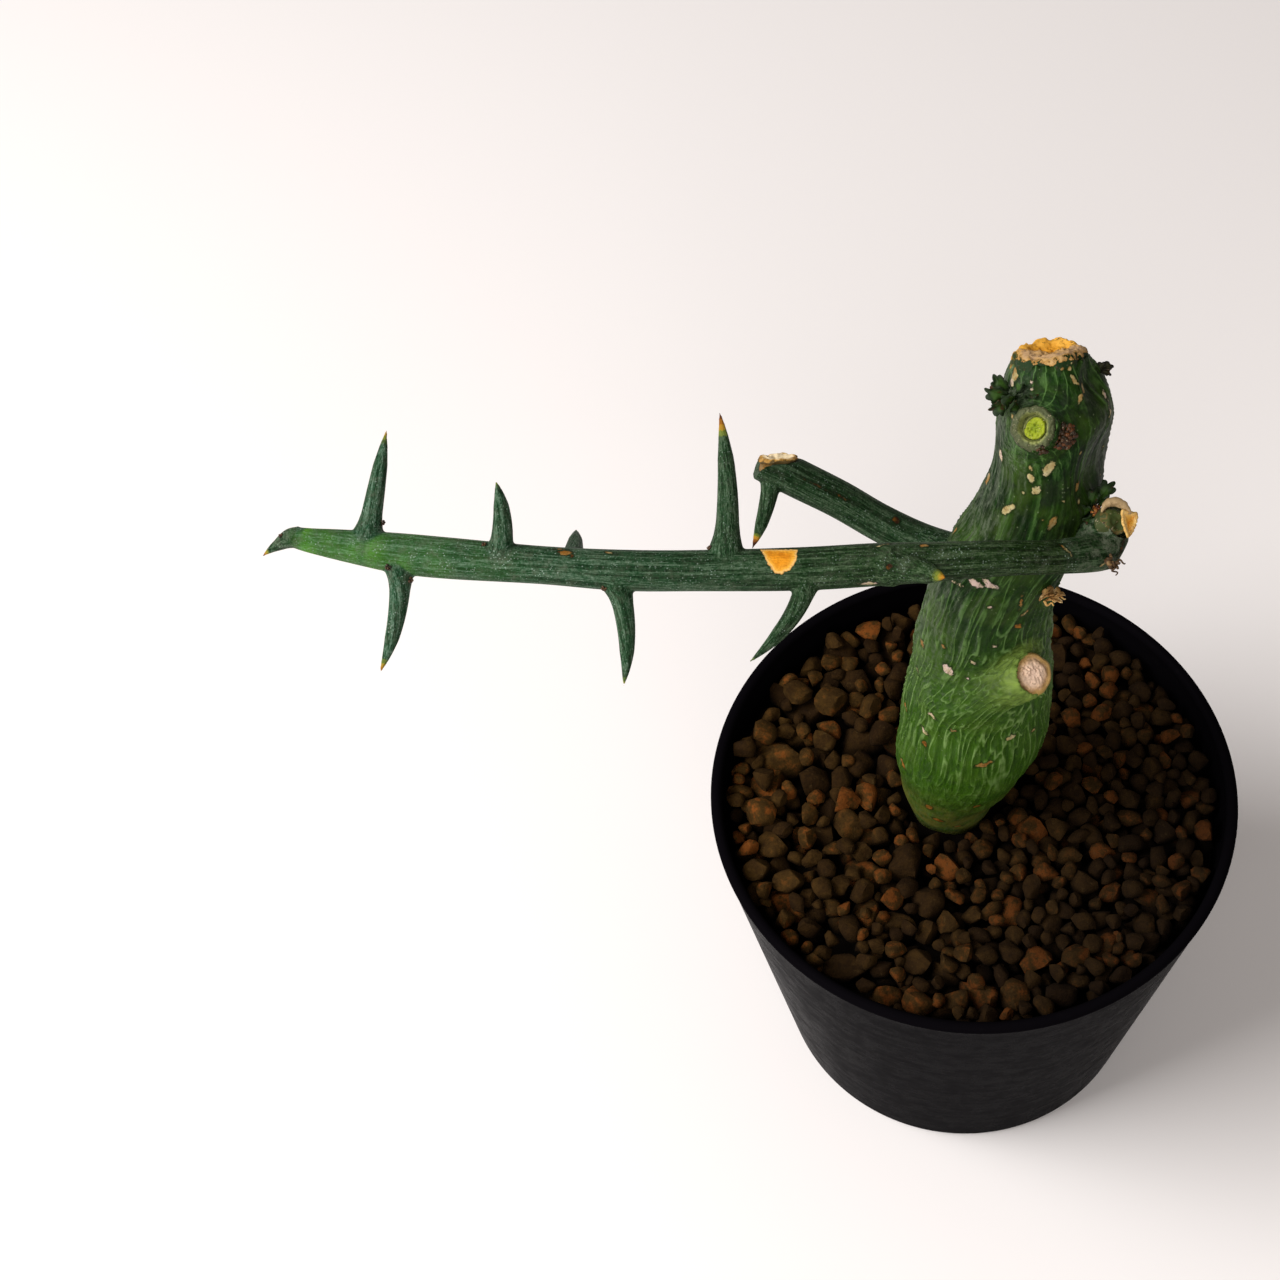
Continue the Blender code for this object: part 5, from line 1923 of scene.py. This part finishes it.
# Pixel of the foot, slant, share towards the viewer, length, width, teeth.
LEFT_TUFT = (
    (1009, 395, 168, 0.15, 3.5, 2.4, 9),
    (1008, 399, 208, 0.10, 3.1, 2.1, 9),
    (1009, 390, 140, 0.10, 3.0, 1.9, 7),
    (1014, 396, 185, 0.75, 2.5, 2.2, 9),
    (1015, 400, 240, 0.60, 2.2, 1.8, 7),
    (1017, 394, 60, 0.70, 2.2, 1.8, 7),
    (1019, 399, 10, 0.60, 2.4, 1.7, 7),
    (1027, 399, 20, 0.50, 2.0, 1.3, 5),
)
RIGHT_TUFT = (
    (1101, 371, 20, 0.0, 1.9, 1.3, 5),
    (1101, 372, -20, 0.3, 1.5, 1.1, 5),
    (1101, 370, 60, 0.1, 1.2, 1.0, 5),
)


def tuft(name, table, finish, seed):
    """A tuft on the trunk, with the feet of its leaves a little under the bark."""
    made = leaves(table, lambda u, v: at_pixel(u, v, trunk, 0.2), lambda near: 1.6 - near, 0.16, 0.5, seed)
    return together(name, made, finish)


green_leaf = leaf_finish("young_leaf", (0.034, 0.080, 0.010), (0.010, 0.022, 0.005), (0.05, 0.022, 0.008))
left_tuft = tuft("left_tuft", LEFT_TUFT, green_leaf, 201)
BROWNED = ((0.030, 0.028, 0.010), (0.010, 0.008, 0.004), (0.09, 0.05, 0.02))
brown_leaf = leaf_finish("browned_leaf", *BROWNED)
right_tuft = tuft("right_tuft", RIGHT_TUFT, brown_leaf, 211)

# Above the torn twig one coarsely toothed leaf stands up, with smaller ones round its foot.
elbow_place = at_pixel(1090, 512, trunk)
ELBOW_LEAVES = (
    (1097, 503, 50, 0.2, 3.5, 2.2, 7),
    (1092, 506, 75, 0.3, 2.4, 1.7, 7),
    (1091, 512, 150, 0.7, 2.0, 1.7, 7),
    (1098, 506, 10, 0.6, 2.0, 1.5, 5),
    (1092, 516, 200, 0.7, 1.8, 1.4, 5),
)
elbow_leaves = leaves(
    ELBOW_LEAVES, lambda u, v: beside(u, v, elbow_place, 0.3), lambda near: 2.0 - near, 0.22, 0.4, 221
)
elbow_tuft = together("elbow_tuft", elbow_leaves, green_leaf)
for body, table in ((left_tuft, LEFT_TUFT), (right_tuft, RIGHT_TUFT), (elbow_tuft, ELBOW_LEAVES)):
    print(body.name, "leaves:", len(table), "faces:", len(body.data.polygons))

# %% [markdown]
# The buds are heaps of tiny grains. One grain is an ico sphere pulled out of round, and its copies
# are turned, scaled and spread over a mound on the skin. The same grains, flatter and darker, make
# the dried axil buds beside the thorns.

# %% Granular buds
def grain_shape(index):
    deselect_all()
    bpy.ops.mesh.primitive_ico_sphere_add(subdivisions=2, radius=1)
    shape = bpy.context.object
    lumpy = points_of(shape)
    move_points(shape, lumpy * (1 + 0.14 * Lattice(300 + index, 0.7)(lumpy))[:, None])
    return shape


GRAIN_SHAPES = 4
GOLDEN_TURN = 2.4  # radians from one grain to the next, so that they fill the mound evenly
grain_shapes = [grain_shape(index) for index in range(GRAIN_SHAPES)]


def heap(name, middle, normal, radius, height, count, grain, seed, finish):
    """Grains of about one size over a mound with a round foot on the skin."""
    draw = np.random.default_rng(seed)
    normal = Vector(normal).normalized()
    right = normal.orthogonal().normalized()
    ahead = normal.cross(right)
    grains = []
    for index in range(count):
        reach = math.sqrt((index + 0.5) / count)
        turn = index * GOLDEN_TURN + draw.uniform(-0.3, 0.3)
        rise = height * (1 - reach**2) * draw.uniform(0.7, 1.1)
        spot = (right * math.cos(turn) + ahead * math.sin(turn)) * reach * radius + normal * rise
        one = copied(name, grain_shapes[int(draw.integers(GRAIN_SHAPES))])
        size = grain * draw.uniform(0.7, 1.3) * MM * draw.uniform(0.75, 1.3, 3)
        move_points(one, points_of(one) * size + np.array(Vector(middle) + spot * MM))
        keep_values(one, tone=draw.uniform())
        one.data.shade_smooth()
        grains.append(one)
    return together(name, grains, finish)


def bud_finish(name, stops, fleck, fleck_share):
    made = Finish(name, roughness=0.5)
    tone = made.plus(made.attribute("tone"), made.patches((1800, 3), 0.2, 0.8, -0.3, 0.3))
    colour = made.ramp(tone, stops)
    colour = made.mix(made.patches((2100, 2), 0.66, 0.70, 0, fleck_share), colour, fleck)
    made.set(Base_Color=colour, Normal=made.bump(made.noise(2500, 3), 0.06 * MM, 0.7), Specular_IOR_Level=0.3)
    return made


RED_BUD = ((0.0, (0.014, 0.009, 0.002)), (0.5, (0.040, 0.016, 0.003)), (1.0, (0.105, 0.032, 0.006)))
DARK_BUD = ((0.0, (0.010, 0.005, 0.003)), (0.6, (0.040, 0.018, 0.008)), (1.0, (0.11, 0.055, 0.02)))
ORANGE_BUD = ((0.0, (0.05, 0.015, 0.005)), (0.4, (0.22, 0.05, 0.012)), (1.0, (0.40, 0.16, 0.03)))
red_bud_finish = bud_finish("red_bud", RED_BUD, (0.52, 0.43, 0.28), 0.45)
dark_bud_finish = bud_finish("dark_bud", DARK_BUD, (0.30, 0.20, 0.10), 0.5)
orange_bud_finish = bud_finish("orange_bud", ORANGE_BUD, (0.60, 0.45, 0.30), 0.6)


# After the place and normal: radius and height in mm, count, size of a grain and seed.
UP_AND_NEAR = photo_way(90, 3)
red_bud = heap("red_bud", *seen_on(trunk, 1064, 436), 1.75, 0.9, 70, 0.32, 231, red_bud_finish)
lower_bud = heap("lower_bud", *seen_on(trunk, 1042, 450), 0.7, 0.35, 9, 0.25, 233, red_bud_finish)
orange_place = beside(1096, 511, elbow_place, 1.0)
orange_bud = heap("orange_bud", orange_place, UP_AND_NEAR, 0.75, 0.5, 18, 0.26, 235, orange_bud_finish)
spot_place = at_pixel(1105, 524, long_branch)
spot_bud = heap("spot_bud", spot_place, UP_AND_NEAR, 0.35, 0.35, 7, 0.22, 237, dark_bud_finish)
# Pixel, radius and height in mm, and seed, at the feet of the thorns.
AXIL_BUDS = (
    (382, 523, 0.50, 0.45, 241),
    (388, 567, 0.55, 0.45, 242),
    (410, 580, 0.45, 0.45, 243),
    (484, 545, 0.45, 0.35, 244),
    (604, 588, 0.45, 0.40, 245),
    (710, 548, 0.40, 0.35, 246),
    (281, 536, 0.40, 0.25, 248),
)
axil_heaps = []
for u, v, radius, height, seed in AXIL_BUDS:
    sizes = (0.8 * radius, height, 10, 0.15)
    axil_heaps.append(heap("axil_buds", *seen_on(long_branch, u, v), *sizes, seed, dark_bud_finish))
axil_buds = together("axil_buds", axil_heaps, dark_bud_finish)
for shape in grain_shapes:
    bpy.data.objects.remove(shape)
print("axil buds:", len(axil_heaps), "faces:", len(axil_buds.data.polygons))

# %% [markdown]
# Dead leaves curl up. The dark one under the elbow is a knot of thin curls, so it is made of rods
# that wind in small spirals; the golden one behind the branch has crisped leaves with curled rims.

# %% Dried tufts
CURL_ROWS = 26


def curl(start, way, side, length, radius, turns, thickness):
    """A thin rod that winds in a shrinking spiral round its way."""
    way, side = square_to(way, side)
    over = way.cross(side)
    rows = []
    for share in np.linspace(0, 1, CURL_ROWS):
        turn = share * turns * 2 * math.pi
        wide = radius * (1 - 0.6 * share) * min(1, share * 5)
        spot = way * length * share + (side * math.cos(turn) + over * math.sin(turn)) * wide
        place = Vector(start) + spot * MM
        rows.append((*place, thickness * (1 - 0.55 * share) * MM))
    return limb("curl", np.array(rows), 3)


def curls(table, place):
    """Curls by their foot's pixel, at the depth of a place."""
    return [
        curl(beside(u, v, place), photo_way(slant, near), photo_way(slant + 90, 0.3), *sizes)
        for u, v, slant, near, *sizes in table
    ]


dry_finish = leaf_finish("dry_leaf", (0.62, 0.37, 0.12), (0.28, 0.14, 0.04), (0.80, 0.56, 0.27))
dark_dry_finish = leaf_finish("dark_dry_leaf", (0.06, 0.032, 0.013), (0.02, 0.012, 0.006), (0.22, 0.13, 0.05))
# Foot pixel, slant, towards the viewer, length, spiral radius, turns, thickness.
DARK_CURLS = (
    (1106, 562, -12, 0.3, 1.9, 0.40, 1.1, 0.46),
    (1109, 563, -38, 0.2, 1.5, 0.45, 1.2, 0.38),
    (1111, 563, 4, 0.2, 1.9, 0.60, 1.5, 0.24),
    (1114, 567, -75, 0.0, 1.2, 0.50, 1.3, 0.17),
    (1108, 560, 62, 0.4, 0.9, 0.30, 0.9, 0.34),
)
dark_tuft = together("dark_tuft", curls(DARK_CURLS, at_pixel(1104, 562, long_branch)), dark_dry_finish)

GOLD_LEAVES = (
    (1040, 600, 20, 0.2, 2.5, 1.6, 7),
    (1043, 598, 45, 0.4, 2.0, 1.3, 5),
    (1046, 601, -6, 0.5, 2.2, 1.4, 7),
    (1050, 598, 12, 0.3, 2.0, 1.3, 5),
)
GOLD_CURLS = (
    (1050, 599, 5, 0.2, 2.2, 0.5, 1.5, 0.2),
    (1046, 596, 35, 0.2, 1.8, 0.45, 1.4, 0.2),
    (1044, 602, -20, 0.3, 1.5, 0.4, 1.3, 0.2),
)
gold_place = seen_on(trunk, 1030, 602)[0]
gold_leaves = leaves(GOLD_LEAVES, lambda u, v: beside(u, v, gold_place), lambda near: 1.0, 0.22, 1.0, 251)
gold_tuft = together("gold_tuft", gold_leaves + curls(GOLD_CURLS, gold_place), dry_finish)
BUDS = (red_bud, lower_bud, orange_bud, spot_bud, axil_buds)
SMALL_PIECES = (left_tuft, right_tuft, elbow_tuft, *BUDS, dark_tuft, gold_tuft)
print("small pieces:", len(SMALL_PIECES))

# %% [markdown]
# The stage is plain: a pale floor, a wide soft light from the left like a window, a weak light from
# the front, and a faint warm sky that fills the shadows.

# %% Floor and lights
deselect_all()
bpy.ops.mesh.primitive_plane_add(size=6.0, location=(0, 0, -0.0002))
floor = bpy.context.object
floor.name = "floor"
paper = Finish("pale_floor", roughness=0.9)
paper.set(Base_Color=(0.98, 0.93, 0.91), Specular_IOR_Level=0.2)
dress(floor, paper)


def soft_light(name, place, aim, size, power):
    deselect_all()
    bpy.ops.object.light_add(type="AREA", location=place)
    lamp = bpy.context.object
    lamp.name = name
    lamp.data.size = size
    lamp.data.energy = power
    lamp.rotation_euler = (Vector(aim) - Vector(place)).to_track_quat("-Z", "Y").to_euler()


soft_light("window", (-0.68, -0.02, 0.76), (-0.04, 0, 0.06), 0.64, 10.6)
soft_light("fill", (-0.15, -0.62, 0.50), (0, 0, 0.10), 0.5, 1.8)
world = bpy.data.worlds.new("pale_room")
bpy.context.scene.world = world
world.use_nodes = True
sky = world.node_tree.nodes["Background"]
sky.inputs["Color"].default_value = (1, 0.93, 0.88, 1)
sky.inputs["Strength"].default_value = 0.22
bpy.context.scene.view_settings.view_transform = "Standard"

# %% [markdown]
# Every piece rides on the one body of the part and stands for the solid that it replaces, which is
# hidden.

# %% Pieces tied to the solids
PIECES = (
    (pot, "pot_plastic", "pot"),
    (bed, "grit", "potting_grit"),
    (large_stones, "grit", "potting_grit"),
    (small_stones, "grit", "potting_grit"),
    (trunk, "bark", "adenia_plant"),
    (long_branch, "bark", "adenia_plant"),
    (back_branch, "bark", "adenia_plant"),
    *((piece, "bark", "adenia_plant") for piece in CUT_PIECES + SMALL_PIECES),
)
for piece, slot, node in PIECES:
    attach(piece, "root")
    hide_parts(node)
    print(piece.name, "triangles:", sum(len(face.vertices) - 2 for face in piece.data.polygons))
